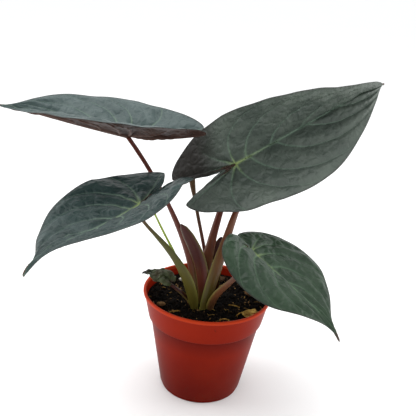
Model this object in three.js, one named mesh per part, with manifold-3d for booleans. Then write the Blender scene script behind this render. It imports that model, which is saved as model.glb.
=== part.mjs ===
// A potted alocasia: a thin plastic nursery pot filled with potting mix, a buried rhizome, and the
// leaves, stalks and sheaths that rise from it. Millimetres and degrees, +Z up. The origin is the
// centre of the pot's underside, and the plant shows its front to -Y.
import * as THREE from "three";
import { mergeVertices } from "three/addons/utils/BufferGeometryUtils.js";
import Module from "manifold-3d";

const wasm = await Module();
wasm.setup();

const RADIANS = Math.PI / 180;

// ---- Driving dimensions ----

const GAP = 0.3; // air between two pieces that touch
const LITTER_GAP = 0.8; // loose pieces stand this far over the uneven soil
const FACETS = 48; // facets round the pot and the soil

const POT = {
  height: 100,
  wall: 1.4,
  rimRadius: 60, // outside of the lip
  lipHeight: 3,
  lipProud: 1.3, // how far the lip stands out from the collar
  lipRound: 0.9,
  collarHeight: 26, // from the rim down to the step
  collarTaper: 6, // how much narrower the collar is at its foot than the lip
  step: 2, // how far the body steps in under the collar
  baseRadius: 38.5,
  footHeight: 4,
  footInset: 0.7,
  footWidth: 5, // the ring that the pot stands on
  channelRise: 3, // the underside between foot and centre disc is raised
  discRadius: 12, // flat disc at the middle of the underside
  drainHoles: 8,
  drainRadius: 2.8,
};

const SOIL = {
  belowRim: 9, // the surface lies this far below the pot's rim
  mound: 2.5, // extra height near the crown
  moundReach: 24,
  ripple: 0.7,
  waves: [
    [0.31, 0.17], // the ripple's two crossing waves, in radians for each mm along X and Y
    [-0.11, 0.27],
  ],
  flatEdge: 6, // the ripple and the mound fade out this close to the wall
  rings: 9,
};

const CROWN = {
  x: -4.5,
  y: -18.5,
  buried: 4, // the flat top that the stalks stand on lies this far below the soil surface
  radius: 12,
  depth: 30,
  mouthClearance: 1.5, // the soil stands back this far from the stalks
  facets: 24,
};

// The rhizome's sides, from low down to its flat top: share of the radius, share of the depth below
// the top. CORM_FOOT is the share of the radius that its underside takes.
const CORM = [
  [0.9, 0.7],
  [1, 0.35],
  [0.92, 0.15],
  [1, 0],
];
const CORM_FOOT = 0.5;

const BLADE = {
  edge: 0.5, // thickness at the margin
  midrib: 1.4, // thickness along the midrib
  stations: 22, // from the sinus round to the tip
  spans: 5, // from the midrib out to the margin
  basalShare: 0.5, // the share of the margin that is fed from the stalk's node
  spineSpread: 1.65, // how quickly the side veins' feet move out along the midrib
  veinBow: 0.1, // the side veins' bow, as a share of their length
  bowFrom: 0.42, // the station where the bow starts
  bowRise: 0.2,
  bowFall: 0.15,
  tipBendFrom: 0.6, // the share of the length where the tip starts to bend down
  samples: 120, // steps along the bent midrib
};

// The margin inside the sinus, from its end towards the lobe's end. Share of the way back along the
// lobe, half widths across, and what is left of that width in a closed sinus. Seen from the node the
// points turn steadily outwards, so the blade never laps over itself.
const INNER_MARGIN = [
  [0, 0, 0],
  [0.42, 0.095, 0],
  [0.78, 0.2, 0.35],
];
const CLOSED_LOBE = 0.6; // how far across the lobe's end reaches when the sinus is closed

// The rest of half the margin, from the lobe's end to the tip. Along: below 0 in lobe lengths,
// above 0 in blade lengths. Across: in half widths.
const MARGIN = [
  [-1.0, 0.29],
  [-0.9, 0.51],
  [-0.54, 0.79],
  [0.0, 0.96],
  [0.2, 1.0],
  [0.42, 0.895],
  [0.65, 0.57],
  [0.84, 0.22],
  [0.94, 0.055],
  [1.0, 0.0],
];

const DRIP_TIP = 0.8; // the margin's points past this share of the length belong to the drip tip

// Every place on the plant is measured from the middle of the rhizome's flat top.
//
// Each leaf: blade sizes, how it is folded, cupped and bent, and how it is held at its node.
// length, halfWidth, lobe and sinus are in mm; angles are in degrees. fold lifts a half at the
// midrib, cup turns its margin back down, lobeFold is the fold at the lobes' ends. lobes shortens
// the left and the right lobe, and tipWidth narrows the drip tip.
const LEAVES = {
  upper_left: {
    length: 113, halfWidth: 55, lobe: 67, lobes: [1, 1], sinus: 10, sinusWidth: 0.9, tipWidth: 0.75,
    fold: [24.5, 33.5], cup: [19, 5], lobeFold: [33, 35], foldFade: 0.4,
    bend: -4, tipBend: 11.5, lobeDroop: -17.5, twist: 3, tipTwist: -30,
    heading: 183.5, pitch: 9, roll: 8.5, node: [-74.5, 13.5, 158],
  },
  lower_left: {
    length: 126, halfWidth: 56, lobe: 50, lobes: [0.86, 1], sinus: 18, sinusWidth: 0.3, tipWidth: 0.75,
    fold: [19, 17], cup: [-1, -14], lobeFold: [6, 12], foldFade: 1.4,
    bend: -13, tipBend: 54, lobeDroop: -15, twist: -6, tipTwist: 33,
    heading: 237.5, pitch: -9, roll: 15, node: [-56.5, -36.5, 115],
  },
  upper_right: {
    length: 179.5, halfWidth: 63.5, lobe: 67, lobes: [1, 1], sinus: 14, sinusWidth: 0.8, tipWidth: 1,
    fold: [42, 27], cup: [-26, -14], lobeFold: [53, 20], foldFade: -0.3,
    bend: -4, tipBend: 51, lobeDroop: -18, twist: 31, tipTwist: 6,
    heading: 24.5, pitch: 27, roll: 53, node: [21, 48.5, 130],
  },
  lower_right: {
    length: 106, halfWidth: 54, lobe: 23, lobes: [1, 0.62], sinus: 12, sinusWidth: 0.1, tipWidth: 0.7,
    fold: [-4.5, 43], cup: [-1, 53], lobeFold: [-0.5, 56], foldFade: 0.8,
    bend: 6, tipBend: 31, lobeDroop: 3, twist: 10.5, tipTwist: -34,
    heading: -39, pitch: -19, roll: -0.5, node: [39, -21.5, 75],
  },
  back: {
    length: 116, halfWidth: 41, lobe: 38, lobes: [1, 1], sinus: 13, sinusWidth: 0.6, tipWidth: 0.75,
    fold: [18, 16], cup: [22, 20], lobeFold: [12, 14], foldFade: 0.5,
    bend: 22, tipBend: 30, lobeDroop: 12, twist: 6, tipTwist: 0,
    heading: 76, pitch: 12, roll: 4, node: [59.5, 76.5, 121],
  },
};

const WITHERED_LEAF = {
  length: 20, halfWidth: 11, lobe: 12, lobes: [1, 1], sinus: 4, sinusWidth: 0.6, tipWidth: 1,
  fold: [50, 35], cup: [95, 70], lobeFold: [30, 55], foldFade: 0.2,
  bend: 23, tipBend: 19, lobeDroop: 35, twist: 27, tipTwist: 20,
  heading: 176, pitch: 14, roll: -14, node: [-37.5, 5.5, 30],
};

// Each stalk is a cubic curve from its foot on the rhizome, through two handles, to its head. foot is
// in shares of the rhizome's radius.
// breadth and depth are half sizes of the oval section at the foot, the swollen sheath and the head;
// sheath is the share of the stalk that the sheath takes; turn is the section's turn in degrees.
const STALKS = {
  upper_left: {
    foot: [-0.475, 0.275], handles: [[-0.5, 13.5, 39], [-43.5, 26.5, 111]],
    breadth: [3.0, 4.5, 1.9], depth: [2.3, 2.3, 1.9], sheath: 0.3, turn: 55,
  },
  lower_left: {
    foot: [-0.483, -0.458], handles: [[-13.5, -14.5, 73], [-65.5, -25.5, 90]],
    breadth: [3.0, 4.2, 1.5], depth: [2.2, 2.2, 1.5], sheath: 0.25, turn: 35,
  },
  upper_right: {
    foot: [0.042, 0.592], handles: [[-1.5, 16.5, 54], [10.5, 35.5, 85]],
    breadth: [3.0, 4.6, 3.0], depth: [2.4, 2.5, 2.6], sheath: 0.3, turn: 0,
  },
  lower_right: {
    foot: [0.775, -0.35], handles: [[2.5, -8.5, 29], [45.5, -15.5, 51]],
    breadth: [2.8, 3.8, 1.9], depth: [2.1, 2.2, 1.9], sheath: 0.4, turn: -20,
  },
  back: {
    foot: [0.008, -0.708], handles: [[23.5, 5, 88], [23.5, 46.5, 118]],
    breadth: [2.9, 4.4, 1.7], depth: [2.1, 2.1, 1.7], sheath: 0.25, turn: -115,
  },
};

const WITHERED_STALK = {
  foot: [-0.817, -0.058], handles: [[-7.5, 1.5, 14], [-25.5, 2.5, 20]],
  breadth: [1.9, 2.1, 1.6], depth: [1.8, 1.9, 1.2], sheath: 0.5, turn: 0,
};

// Pieces that end in a point of their own: new leaves still rolled up, and the sheaths that
// wrapped them. profile: [share of the length, half breadth, half depth].
const POINTED = {
  young_spear: {
    foot: [0.642, 0.542], handles: [[5.5, 28.5, 50], [-20.5, 46.5, 91]], tip: [-21.5, 58.5, 138.5], turn: 0,
    profile: [[0, 1.7, 1.7], [0.55, 1.7, 1.6], [0.68, 1.7, 1.6], [0.82, 3.4, 2.8], [0.93, 2.6, 2.2]],
  },
  green_shoot: {
    foot: [-0.308, -0.158], handles: [[-11.5, -2.5, 38], [-37.5, -2.5, 71]], tip: [-51.5, -1.5, 103.5], turn: 0,
    profile: [[0, 1.2, 1.2], [0.6, 1.1, 1.1], [0.9, 0.9, 0.9]],
  },
  inner_sheath: {
    foot: [-0.008, 0.075], handles: [[2.5, 1.5, 37], [-3.5, 4.5, 53]], tip: [-24, 6.5, 83], turn: 80,
    profile: [[0, 2.6, 2.2], [0.3, 4.4, 1.7], [0.7, 4.6, 1.4], [0.9, 3.4, 1.1]],
  },
  outer_sheath: {
    foot: [0.842, 0.125], handles: [[9.5, 9.5, 23], [10.5, 20.5, 44]], tip: [13.5, 27.5, 65], turn: 0,
    profile: [[0, 2.6, 1.5], [0.35, 3.8, 1.3], [0.75, 4.2, 1.2], [0.92, 3.0, 0.9]],
  },
};

const SHEATH_SWELL = 2; // the sheath is full at 1 / SHEATH_SWELL of its length
const SHEATH_TAPER = 1.6; // above it the stalk is slim at 1 / SHEATH_TAPER of the rest
const POINT_RADIUS = 0.3; // the blunt end of a pointed piece
const STALK_STEPS = 12;
const STALK_SIDES = 10;

// Loose pieces on the soil. at, from, to: places in shares of the soil's radius; size: length, width
// and height; turn about the vertical.
const CHIPS = {
  bark_chip_front: { at: [0.75, -0.52], size: [13, 8, 5.5], turn: 20, lumps: 3.1, colour: 0xb8924a },
  bark_chip_left: { at: [-0.74, -0.39], size: [7, 4.5, 2.6], turn: -10, lumps: 1.7, colour: 0x9b7444 },
  bark_chip_back: { at: [0.25, 0.68], size: [8, 5, 3], turn: 60, lumps: 4.4, colour: 0x6b4a2c },
  bark_chip_right: { at: [0.72, 0.22], size: [7, 5, 2.8], turn: 140, lumps: 2.3, colour: 0x8a6a3c },
  perlite_grain: { at: [-0.47, 0.54], size: [4.2, 3.8, 3.2], turn: 35, lumps: 5.2, colour: 0xd9d2c0 },
};
const FIBRES = {
  fibre_front: { from: [0.5, -0.59], to: [0.68, -0.45], arch: 3.2, bow: 3, radius: 0.75, colour: 0xc79a3c },
  fibre_middle: { from: [0.38, -0.22], to: [0.56, -0.27], arch: 2.8, bow: -3, radius: 0.7, colour: 0xb9893a },
  fibre_near: { from: [0.22, -0.77], to: [0.39, -0.74], arch: 2.4, bow: 2, radius: 0.65, colour: 0xa87a38 },
  fibre_left: { from: [-0.59, -0.65], to: [-0.41, -0.57], arch: 2.6, bow: -2, radius: 0.7, colour: 0x94683a },
};
const CHIP_ROUGHNESS = 0.16; // how far a chip is pulled out of round, as a share of its size
const CHIP_WAVES = [7, 5, 9];
const FIBRE_SIDES = 6;
const FIBRE_STEPS = 6;

// ---- Materials ----

const surface = (color, roughness) => new THREE.MeshStandardMaterial({ color, roughness, metalness: 0 });
const MATERIALS = {
  pot: surface(0xa8301c, 0.42),
  soil: surface(0x1d1612, 0.95),
  rhizome: surface(0x5b4030, 0.85),
  blade: surface(0x3e4f48, 0.38),
  stalk: surface(0x5a3430, 0.45),
  sheath: surface(0x4a262c, 0.5),
  shoot: surface(0x6f8a3a, 0.45),
  withered: surface(0x4f5a3a, 0.8),
};

// ---- Helpers ----

// A geometry with shared corners merged, and no triangle that has lost its area.
function weld(geometry) {
  geometry.deleteAttribute("normal");
  geometry.deleteAttribute("uv");
  const merged = mergeVertices(geometry, 1e-3);
  const kept = [];
  const corners = merged.index.array;
  for (let i = 0; i < corners.length; i += 3) {
    const [a, b, c] = corners.slice(i, i + 3);
    if (a !== b && b !== c && c !== a) kept.push(a, b, c);
  }
  merged.setIndex(kept);
  return merged;
}

function geometryOf(points, triangles) {
  const geometry = new THREE.BufferGeometry().setFromPoints(points);
  geometry.setIndex(triangles);
  return weld(geometry);
}

// A solid turned about the vertical from [radius, height] points that run from axis to axis.
function turned(profile, facets = FACETS) {
  const points = profile.map(([radius, height]) => new THREE.Vector2(radius, height));
  return weld(new THREE.LatheGeometry(points, facets).rotateX(Math.PI / 2));
}

function toSolid(geometry) {
  const mesh = new wasm.Mesh({
    numProp: 3,
    vertProperties: new Float32Array(geometry.attributes.position.array),
    triVerts: new Uint32Array(geometry.index.array),
  });
  return new wasm.Manifold(mesh);
}

function subtract(geometry, cutters) {
  const cut = cutters.reduce((solid, cutter) => solid.subtract(toSolid(cutter)), toSolid(geometry));
  const { vertProperties, triVerts } = cut.getMesh();
  const result = new THREE.BufferGeometry();
  result.setAttribute("position", new THREE.BufferAttribute(vertProperties, 3));
  result.setIndex(new THREE.BufferAttribute(triVerts, 1));
  return result;
}

// A closed skin over rings of equally many points, with a fan over each end.
function loft(rings) {
  const sides = rings[0].length;
  const points = rings.flat();
  const triangles = [];
  for (let r = 0; r + 1 < rings.length; r += 1) {
    for (let s = 0; s < sides; s += 1) {
      const a = r * sides + s;
      const b = r * sides + ((s + 1) % sides);
      triangles.push(a, b, b + sides, a, b + sides, a + sides);
    }
  }
  const middle = (ring) => ring.reduce((sum, p) => sum.add(p), new THREE.Vector3()).divideScalar(sides);
  const start = points.push(middle(rings[0])) - 1;
  const end = points.push(middle(rings.at(-1))) - 1;
  const last = (rings.length - 1) * sides;
  for (let s = 0; s < sides; s += 1) {
    const next = (s + 1) % sides;
    triangles.push(start, next, s, end, last + s, last + next);
  }
  return geometryOf(points, triangles);
}

function mix(a, b, share) {
  return a + (b - a) * share;
}

function smooth(share) {
  const t = THREE.MathUtils.clamp(share, 0, 1);
  return t * t * (3 - 2 * t);
}

function meshOf(name, geometry, material) {
  const mesh = new THREE.Mesh(geometry, material);
  mesh.name = name;
  return mesh;
}

// ---- Pot ----

const collarFoot = POT.height - POT.collarHeight;
const collarTopRadius = POT.rimRadius - POT.lipProud;
const collarFootRadius = POT.rimRadius - POT.collarTaper;
const bodyTopRadius = collarFootRadius - POT.step;
const soilLevel = POT.height - SOIL.belowRim;
const crownTop = soilLevel - CROWN.buried;
const floorHeight = POT.channelRise + POT.wall;
const bodyRadius = (height) => mix(POT.baseRadius, bodyTopRadius, height / collarFoot);

// The pot's inner wall, from the floor up to the rim.
const innerWall = [
  [bodyRadius(floorHeight) - POT.wall, floorHeight],
  [bodyTopRadius - POT.wall, collarFoot],
  [collarFootRadius - POT.wall, collarFoot + POT.wall],
  [collarTopRadius - POT.wall, POT.height - POT.lipHeight],
];

function makePot() {
  const footInner = POT.baseRadius - POT.footInset - POT.footWidth;
  const underside = [
    [0, 0],
    [POT.discRadius, 0],
    [POT.discRadius + POT.channelRise / 2, POT.channelRise],
    [footInner - POT.channelRise / 2, POT.channelRise],
    [footInner, 0],
    [POT.baseRadius - POT.footInset, 0],
    [POT.baseRadius - POT.footInset, POT.footHeight - POT.footInset],
    [bodyRadius(POT.footHeight), POT.footHeight],
  ];
  const outside = [
    [bodyTopRadius, collarFoot],
    [collarFootRadius, collarFoot + POT.step / 4],
    [collarTopRadius, POT.height - POT.lipHeight],
    [POT.rimRadius, POT.height - POT.lipHeight + POT.lipProud / 3],
    [POT.rimRadius, POT.height - POT.lipRound],
    [POT.rimRadius - POT.lipRound, POT.height],
    [collarTopRadius - POT.wall + POT.lipRound, POT.height],
    [collarTopRadius - POT.wall, POT.height - POT.lipRound],
  ];
  const inside = [...innerWall].reverse();
  const shell = turned([...underside, ...outside, ...inside, [0, floorHeight]]);
  return subtract(shell, makeDrainCutters((POT.discRadius + footInner) / 2));
}

function makeDrainCutters(circleRadius) {
  return Array.from({ length: POT.drainHoles }, (_, hole) => {
    const angle = (hole / POT.drainHoles) * 2 * Math.PI;
    const cutter = new THREE.CylinderGeometry(POT.drainRadius, POT.drainRadius, 4 * floorHeight, 12);
    cutter.rotateX(Math.PI / 2);
    cutter.translate(circleRadius * Math.cos(angle), circleRadius * Math.sin(angle), 0);
    return weld(cutter);
  });
}

// ---- Rhizome and soil ----

// The rhizome's profile, grown by a clearance on every side but its flat top.
function rhizomeProfile(clearance) {
  const { radius, depth } = CROWN;
  const foot = crownTop - depth - clearance;
  const sides = CORM.map(([girth, below]) => [radius * girth + clearance, crownTop - depth * below]);
  return [[0, foot], [radius * CORM_FOOT, foot], ...sides];
}

function makeRhizome() {
  const rhizome = turned([...rhizomeProfile(0), [0, crownTop]], CROWN.facets);
  return rhizome.translate(CROWN.x, CROWN.y, 0);
}

function soilHeight(x, y) {
  const fromCrown = Math.hypot(x - CROWN.x, y - CROWN.y);
  const [[ax, ay], [bx, by]] = SOIL.waves;
  const ripple = Math.sin(x * ax + y * ay) * Math.cos(x * bx + y * by);
  return soilLevel + SOIL.mound * Math.exp(-((fromCrown / SOIL.moundReach) ** 2)) + SOIL.ripple * ripple;
}

// The radius of the space inside the pot at a height.
function innerRadius(height) {
  const above = innerWall.findIndex(([, z]) => z >= height);
  const [r1, z1] = innerWall[above];
  const [r0, z0] = innerWall[above - 1];
  return mix(r0, r1, (height - z0) / (z1 - z0));
}

function soilRadius() {
  return innerRadius(soilLevel) - GAP;
}

function makeSoil() {
  const edge = soilRadius();
  const sides = innerWall.filter(([, z]) => z < soilLevel).map(([r, z]) => [r - GAP, z]);
  sides[0] = [sides[0][0], floorHeight + GAP];
  const top = Array.from({ length: SOIL.rings }, (_, ring) => [
    edge * (1 - ring / SOIL.rings),
    soilLevel,
  ]);
  const body = turned([[0, floorHeight + GAP], ...sides, ...top, [0, soilLevel]]);
  const position = body.attributes.position;
  for (let i = 0; i < position.count; i += 1) {
    const [x, y, z] = [position.getX(i), position.getY(i), position.getZ(i)];
    const fromWall = edge - Math.hypot(x, y);
    if (z === soilLevel) position.setZ(i, mix(z, soilHeight(x, y), smooth(fromWall / SOIL.flatEdge)));
  }
  const mouth = CROWN.radius + CROWN.mouthClearance;
  const pocket = turned(
    [...rhizomeProfile(GAP), [mouth, crownTop + GAP], [mouth + 1, POT.height], [0, POT.height]],
    CROWN.facets,
  );
  return subtract(body, [pocket.translate(CROWN.x, CROWN.y, 0)]);
}

// ---- Leaf blades ----

// The outline of one half of a blade, as a curve from the sinus to the tip.
function marginCurve(leaf, side) {
  const lobe = leaf.lobe * leaf.lobes[side < 0 ? 1 : 0];
  const sinusSpan = lobe - leaf.sinus;
  const inner = INNER_MARGIN.map(([back, across, closed]) => [
    -(leaf.sinus + back * sinusSpan),
    leaf.halfWidth * across * mix(closed, 1, leaf.sinusWidth),
  ]);
  const outer = MARGIN.map(([along, across]) => [
    along * (along < 0 ? lobe : leaf.length),
    across * leaf.halfWidth * (along > DRIP_TIP ? leaf.tipWidth : 1),
  ]);
  outer[0][1] *= mix(CLOSED_LOBE, 1, leaf.sinusWidth);
  const points = [...inner, ...outer].map(([x, y]) => new THREE.Vector3(x, y, 0));
  return new THREE.CatmullRomCurve3(points, false, "centripetal");
}

// A point of one flat half: station 0 to 1 runs round the margin, span 0 to 1 from midrib to margin.
function flatPoint(leaf, curve, station, span) {
  const margin = curve.getPoint(station);
  const past = THREE.MathUtils.clamp((station - BLADE.basalShare) / (1 - BLADE.basalShare), 0, 1);
  const spine = leaf.length * past ** BLADE.spineSpread;
  const dx = margin.x - spine;
  const dy = margin.y;
  const bow =
    BLADE.veinBow *
    THREE.MathUtils.clamp((station - BLADE.bowFrom) / BLADE.bowRise, 0, 1) *
    THREE.MathUtils.clamp((1 - station) / BLADE.bowFall, 0, 1);
  const lift = bow * 4 * span * (1 - span);
  return [spine + dx * span - dy * lift, dy * span + dx * lift];
}

// The slope of the midrib at a distance along it, tip positive.
function spineSlope(leaf, along) {
  const front = THREE.MathUtils.clamp(along / leaf.length, 0, 1);
  const back = THREE.MathUtils.clamp(-along / leaf.lobe, 0, 1);
  const tip = THREE.MathUtils.clamp((front - BLADE.tipBendFrom) / (1 - BLADE.tipBendFrom), 0, 1) ** 2;
  return RADIANS * (leaf.lobeDroop * back - leaf.bend * front - leaf.tipBend * tip);
}

// The bent midrib as a table of [along, x, z], with the node at 0.
function bendSpine(leaf) {
  const step = (leaf.length + leaf.lobe) / BLADE.samples;
  const table = [[-leaf.lobe, 0, 0]];
  for (let i = 1; i <= BLADE.samples; i += 1) {
    const along = -leaf.lobe + i * step;
    const slope = (spineSlope(leaf, along) + spineSlope(leaf, along - step)) / 2;
    const [, x, z] = table.at(-1);
    table.push([along, x + Math.cos(slope) * step, z + Math.sin(slope) * step]);
  }
  const [nodeX, nodeZ] = spinePoint(leaf, table, 0);
  return table.map(([along, x, z]) => [along, x - nodeX, z - nodeZ]);
}

function spinePoint(leaf, table, along) {
  const place = ((along + leaf.lobe) / (leaf.length + leaf.lobe)) * BLADE.samples;
  const low = THREE.MathUtils.clamp(Math.floor(place), 0, BLADE.samples - 1);
  const share = place - low;
  return [1, 2].map((axis) => mix(table[low][axis], table[low + 1][axis], share));
}

// Folds, cups, twists and bends a flat point of one half into the leaf's own frame.
function shapePoint(leaf, table, side, [along, across]) {
  const half = side > 0 ? 0 : 1;
  const front = THREE.MathUtils.clamp(along / leaf.length, 0, 1);
  const back = THREE.MathUtils.clamp(-along / leaf.lobe, 0, 1);
  const body = leaf.fold[half] * (1 - leaf.foldFade * front) * (1 - back);
  const fold = RADIANS * (body + leaf.lobeFold[half] * back);
  const curl = (RADIANS * leaf.cup[half]) / leaf.halfWidth;
  const y = (side * (Math.sin(fold) - Math.sin(fold - curl * across))) / curl;
  const z = (Math.cos(fold - curl * across) - Math.cos(fold)) / curl;
  const twist = RADIANS * ((leaf.twist * along) / leaf.length + leaf.tipTwist * front ** 3);
  const sideways = y * Math.cos(twist) - z * Math.sin(twist);
  const upwards = y * Math.sin(twist) + z * Math.cos(twist);
  const slope = spineSlope(leaf, along);
  const [originX, originZ] = spinePoint(leaf, table, along);
  return new THREE.Vector3(
    originX - Math.sin(slope) * upwards,
    sideways,
    originZ + Math.cos(slope) * upwards,
  );
}

// The turn and place that carry a leaf's own frame (tip +X, left +Y) into the plant.
function leafMatrix(leaf) {
  const heading = new THREE.Matrix4().makeRotationZ(leaf.heading * RADIANS);
  const pitch = new THREE.Matrix4().makeRotationY(-leaf.pitch * RADIANS);
  const roll = new THREE.Matrix4().makeRotationX(leaf.roll * RADIANS);
  const place = new THREE.Matrix4().makeTranslation(...leaf.node);
  return place.multiply(heading).multiply(pitch).multiply(roll);
}

// A blade as a thin closed body: an upper skin, the same skin set down by the thickness, and the
// margin between them. Both halves share the midrib, the strip behind the node, and the tip.
function makeBlade(leaf) {
  const table = bendSpine(leaf);
  const upper = [];
  const thickness = [];
  const known = new Map();
  const grids = [1, -1].map((side) => {
    const curve = marginCurve(leaf, side);
    const corner = (station, span) => {
      const share = station / BLADE.stations;
      const out = span / BLADE.spans;
      const basal = share <= BLADE.basalShare;
      let key = `${side} ${station} ${span}`;
      if (station === 0) key = `strip ${span}`;
      if (span === 0) key = basal ? "strip 0" : `midrib ${station}`;
      if (station === BLADE.stations) key = "tip";
      if (!known.has(key)) {
        known.set(key, upper.length);
        upper.push(shapePoint(leaf, table, side, flatPoint(leaf, curve, share, out)));
        thickness.push(mix(BLADE.edge, BLADE.midrib, (1 - out) ** 3 * (1 - share ** 8)));
      }
      return known.get(key);
    };
    const row = (station) => Array.from({ length: BLADE.spans + 1 }, (_, span) => corner(station, span));
    return { side, rows: Array.from({ length: BLADE.stations + 1 }, (_, station) => row(station)) };
  });

  const skin = [];
  const rim = [];
  grids.forEach(({ side, rows }) => {
    const face = (a, b, c) => {
      if (a !== b && b !== c && c !== a) skin.push(side > 0 ? [a, b, c] : [a, c, b]);
    };
    for (let i = 0; i < BLADE.stations; i += 1) {
      for (let j = 0; j < BLADE.spans; j += 1) {
        face(rows[i][j], rows[i + 1][j], rows[i + 1][j + 1]);
        face(rows[i][j], rows[i + 1][j + 1], rows[i][j + 1]);
      }
      const edge = [rows[i][BLADE.spans], rows[i + 1][BLADE.spans]];
      rim.push(side > 0 ? edge : edge.reverse());
    }
  });

  const smoothSkin = new THREE.BufferGeometry().setFromPoints(upper);
  smoothSkin.setIndex(skin.flat());
  smoothSkin.computeVertexNormals();
  const normals = smoothSkin.attributes.normal;
  const lower = upper.map((point, i) =>
    point.clone().addScaledVector(new THREE.Vector3().fromBufferAttribute(normals, i), -thickness[i]),
  );
  const count = upper.length;
  const triangles = [
    ...skin,
    ...skin.map(([a, b, c]) => [a + count, c + count, b + count]),
    ...rim.flatMap(([a, b]) => [
      [a, b, b + count],
      [a, b + count, a + count],
    ]),
  ];
  return geometryOf([...upper, ...lower], triangles.flat()).applyMatrix4(leafMatrix(leaf));
}

// ---- Stalks, sheaths and new leaves ----

// Moves a ring's points along a direction until they lie in a plane.
function settle(ring, direction, origin, normal) {
  return ring.map((point) => {
    const distance = origin.clone().sub(point).dot(normal) / direction.dot(normal);
    return point.clone().addScaledVector(direction, distance);
  });
}

// Rings of an oval section along a curve, broad across the way that the curve leans, then turned.
function sweep(route, turn, halfSizes) {
  const lean = route.getPoint(1).sub(route.getPoint(0)).setZ(0).normalize();
  return Array.from({ length: STALK_STEPS + 1 }, (_, step) => {
    const t = step / STALK_STEPS;
    const tangent = route.getTangent(t);
    const broad = new THREE.Vector3().crossVectors(tangent, lean).normalize();
    broad.applyAxisAngle(tangent, turn * RADIANS);
    const deep = new THREE.Vector3().crossVectors(broad, tangent);
    const [breadth, depth] = halfSizes(t);
    return Array.from({ length: STALK_SIDES }, (_, side) => {
      const angle = (side / STALK_SIDES) * 2 * Math.PI;
      return route
        .getPoint(t)
        .addScaledVector(broad, breadth * Math.cos(angle))
        .addScaledVector(deep, -depth * Math.sin(angle));
    });
  });
}

const UP = new THREE.Vector3(0, 0, 1);

function routeOf({ foot, handles }, head) {
  const start = new THREE.Vector3(...foot, 0).multiplyScalar(CROWN.radius).setZ(GAP);
  const [first, second] = handles.map((handle) => new THREE.Vector3(...handle));
  return new THREE.CubicBezierCurve3(start, first, second, head);
}

// A leaf stalk from the rhizome to the underside of its blade, both ends cut to what they meet.
function makeStalk(stalk, leaf) {
  const matrix = leafMatrix(leaf);
  const under = new THREE.Vector3(0, 0, -1).transformDirection(matrix);
  const node = new THREE.Vector3(...leaf.node);
  const arrival = node.clone().sub(new THREE.Vector3(...stalk.handles[1])).normalize();
  const cut = arrival.clone().sub(under).normalize();
  const clearance = stalk.breadth[2] * Math.tan(Math.acos(cut.dot(arrival)));
  const head = node.addScaledVector(under, BLADE.midrib + 2 * GAP + clearance);
  const route = routeOf(stalk, head);
  const between = (sizes, t) =>
    t < stalk.sheath
      ? mix(sizes[0], sizes[1], smooth((SHEATH_SWELL * t) / stalk.sheath))
      : mix(sizes[1], sizes[2], smooth((SHEATH_TAPER * (t - stalk.sheath)) / (1 - stalk.sheath)));
  const rings = sweep(route, stalk.turn, (t) => [between(stalk.breadth, t), between(stalk.depth, t)]);
  rings[0] = settle(rings[0], route.getTangent(0), route.getPoint(0), UP);
  rings[STALK_STEPS] = settle(rings[STALK_STEPS], route.getTangent(1), head, cut);
  return loft(rings);
}

// A piece that narrows to a rounded point.
function makePointed(piece) {
  const route = routeOf(piece, new THREE.Vector3(...piece.tip));
  const stations = [...piece.profile, [1, POINT_RADIUS, POINT_RADIUS]];
  const halfSizes = (t) => {
    const next = Math.max(1, stations.findIndex(([share]) => share >= t));
    const [s0, b0, d0] = stations[next - 1];
    const [s1, b1, d1] = stations[next];
    const share = (t - s0) / (s1 - s0);
    return [mix(b0, b1, share), mix(d0, d1, share)];
  };
  const rings = sweep(route, piece.turn, halfSizes);
  rings[0] = settle(rings[0], route.getTangent(0), route.getPoint(0), UP);
  return loft(rings);
}

// ---- Loose pieces on the soil ----

// A rough lump: an icosphere pulled out of round.
function makeChip({ at, size, turn, lumps }) {
  const lump = weld(new THREE.IcosahedronGeometry(0.5, 1));
  const position = lump.attributes.position;
  const point = new THREE.Vector3();
  for (let i = 0; i < position.count; i += 1) {
    point.fromBufferAttribute(position, i);
    const wave = lumps * (point.x * CHIP_WAVES[0] + point.y * CHIP_WAVES[1]) + point.z * CHIP_WAVES[2];
    const swell = 1 + CHIP_ROUGHNESS * Math.sin(wave);
    point.multiplyScalar(swell);
    position.setXYZ(i, point.x, point.y, point.z);
  }
  lump.scale(...size).rotateZ(turn * RADIANS);
  const place = at.map((share) => share * soilRadius());
  return lump.translate(...place, restHeight(lump, place) + LITTER_GAP);
}

// How high a loose piece has to sit for its underside to clear the soil below it.
function restHeight(geometry, [x, y]) {
  const position = geometry.attributes.position;
  let height = -Infinity;
  for (let i = 0; i < position.count; i += 1) {
    const below = soilHeight(x + position.getX(i), y + position.getY(i));
    height = Math.max(height, below - position.getZ(i));
  }
  return height;
}

// A stiff fibre that arches a little off the soil between its two ends.
function makeFibre({ from, to, arch, bow, radius }) {
  const start = new THREE.Vector3(...from, 0).multiplyScalar(soilRadius());
  const end = new THREE.Vector3(...to, 0).multiplyScalar(soilRadius());
  const across = new THREE.Vector3(start.y - end.y, end.x - start.x, 0).setLength(bow);
  const middle = start.clone().add(end).multiplyScalar(0.5).add(across).setZ(arch);
  const section = new THREE.Shape();
  for (let side = 0; side < FIBRE_SIDES; side += 1) {
    const angle = (side / FIBRE_SIDES) * 2 * Math.PI;
    section[side ? "lineTo" : "moveTo"](radius * Math.cos(angle), radius * Math.sin(angle));
  }
  const route = new THREE.QuadraticBezierCurve3(start, middle, end);
  const fibre = weld(
    new THREE.ExtrudeGeometry(section, { steps: FIBRE_STEPS, extrudePath: route, bevelEnabled: false }),
  );
  return fibre.translate(0, 0, restHeight(fibre, [0, 0]) + LITTER_GAP);
}

// ---- The plant ----

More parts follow.
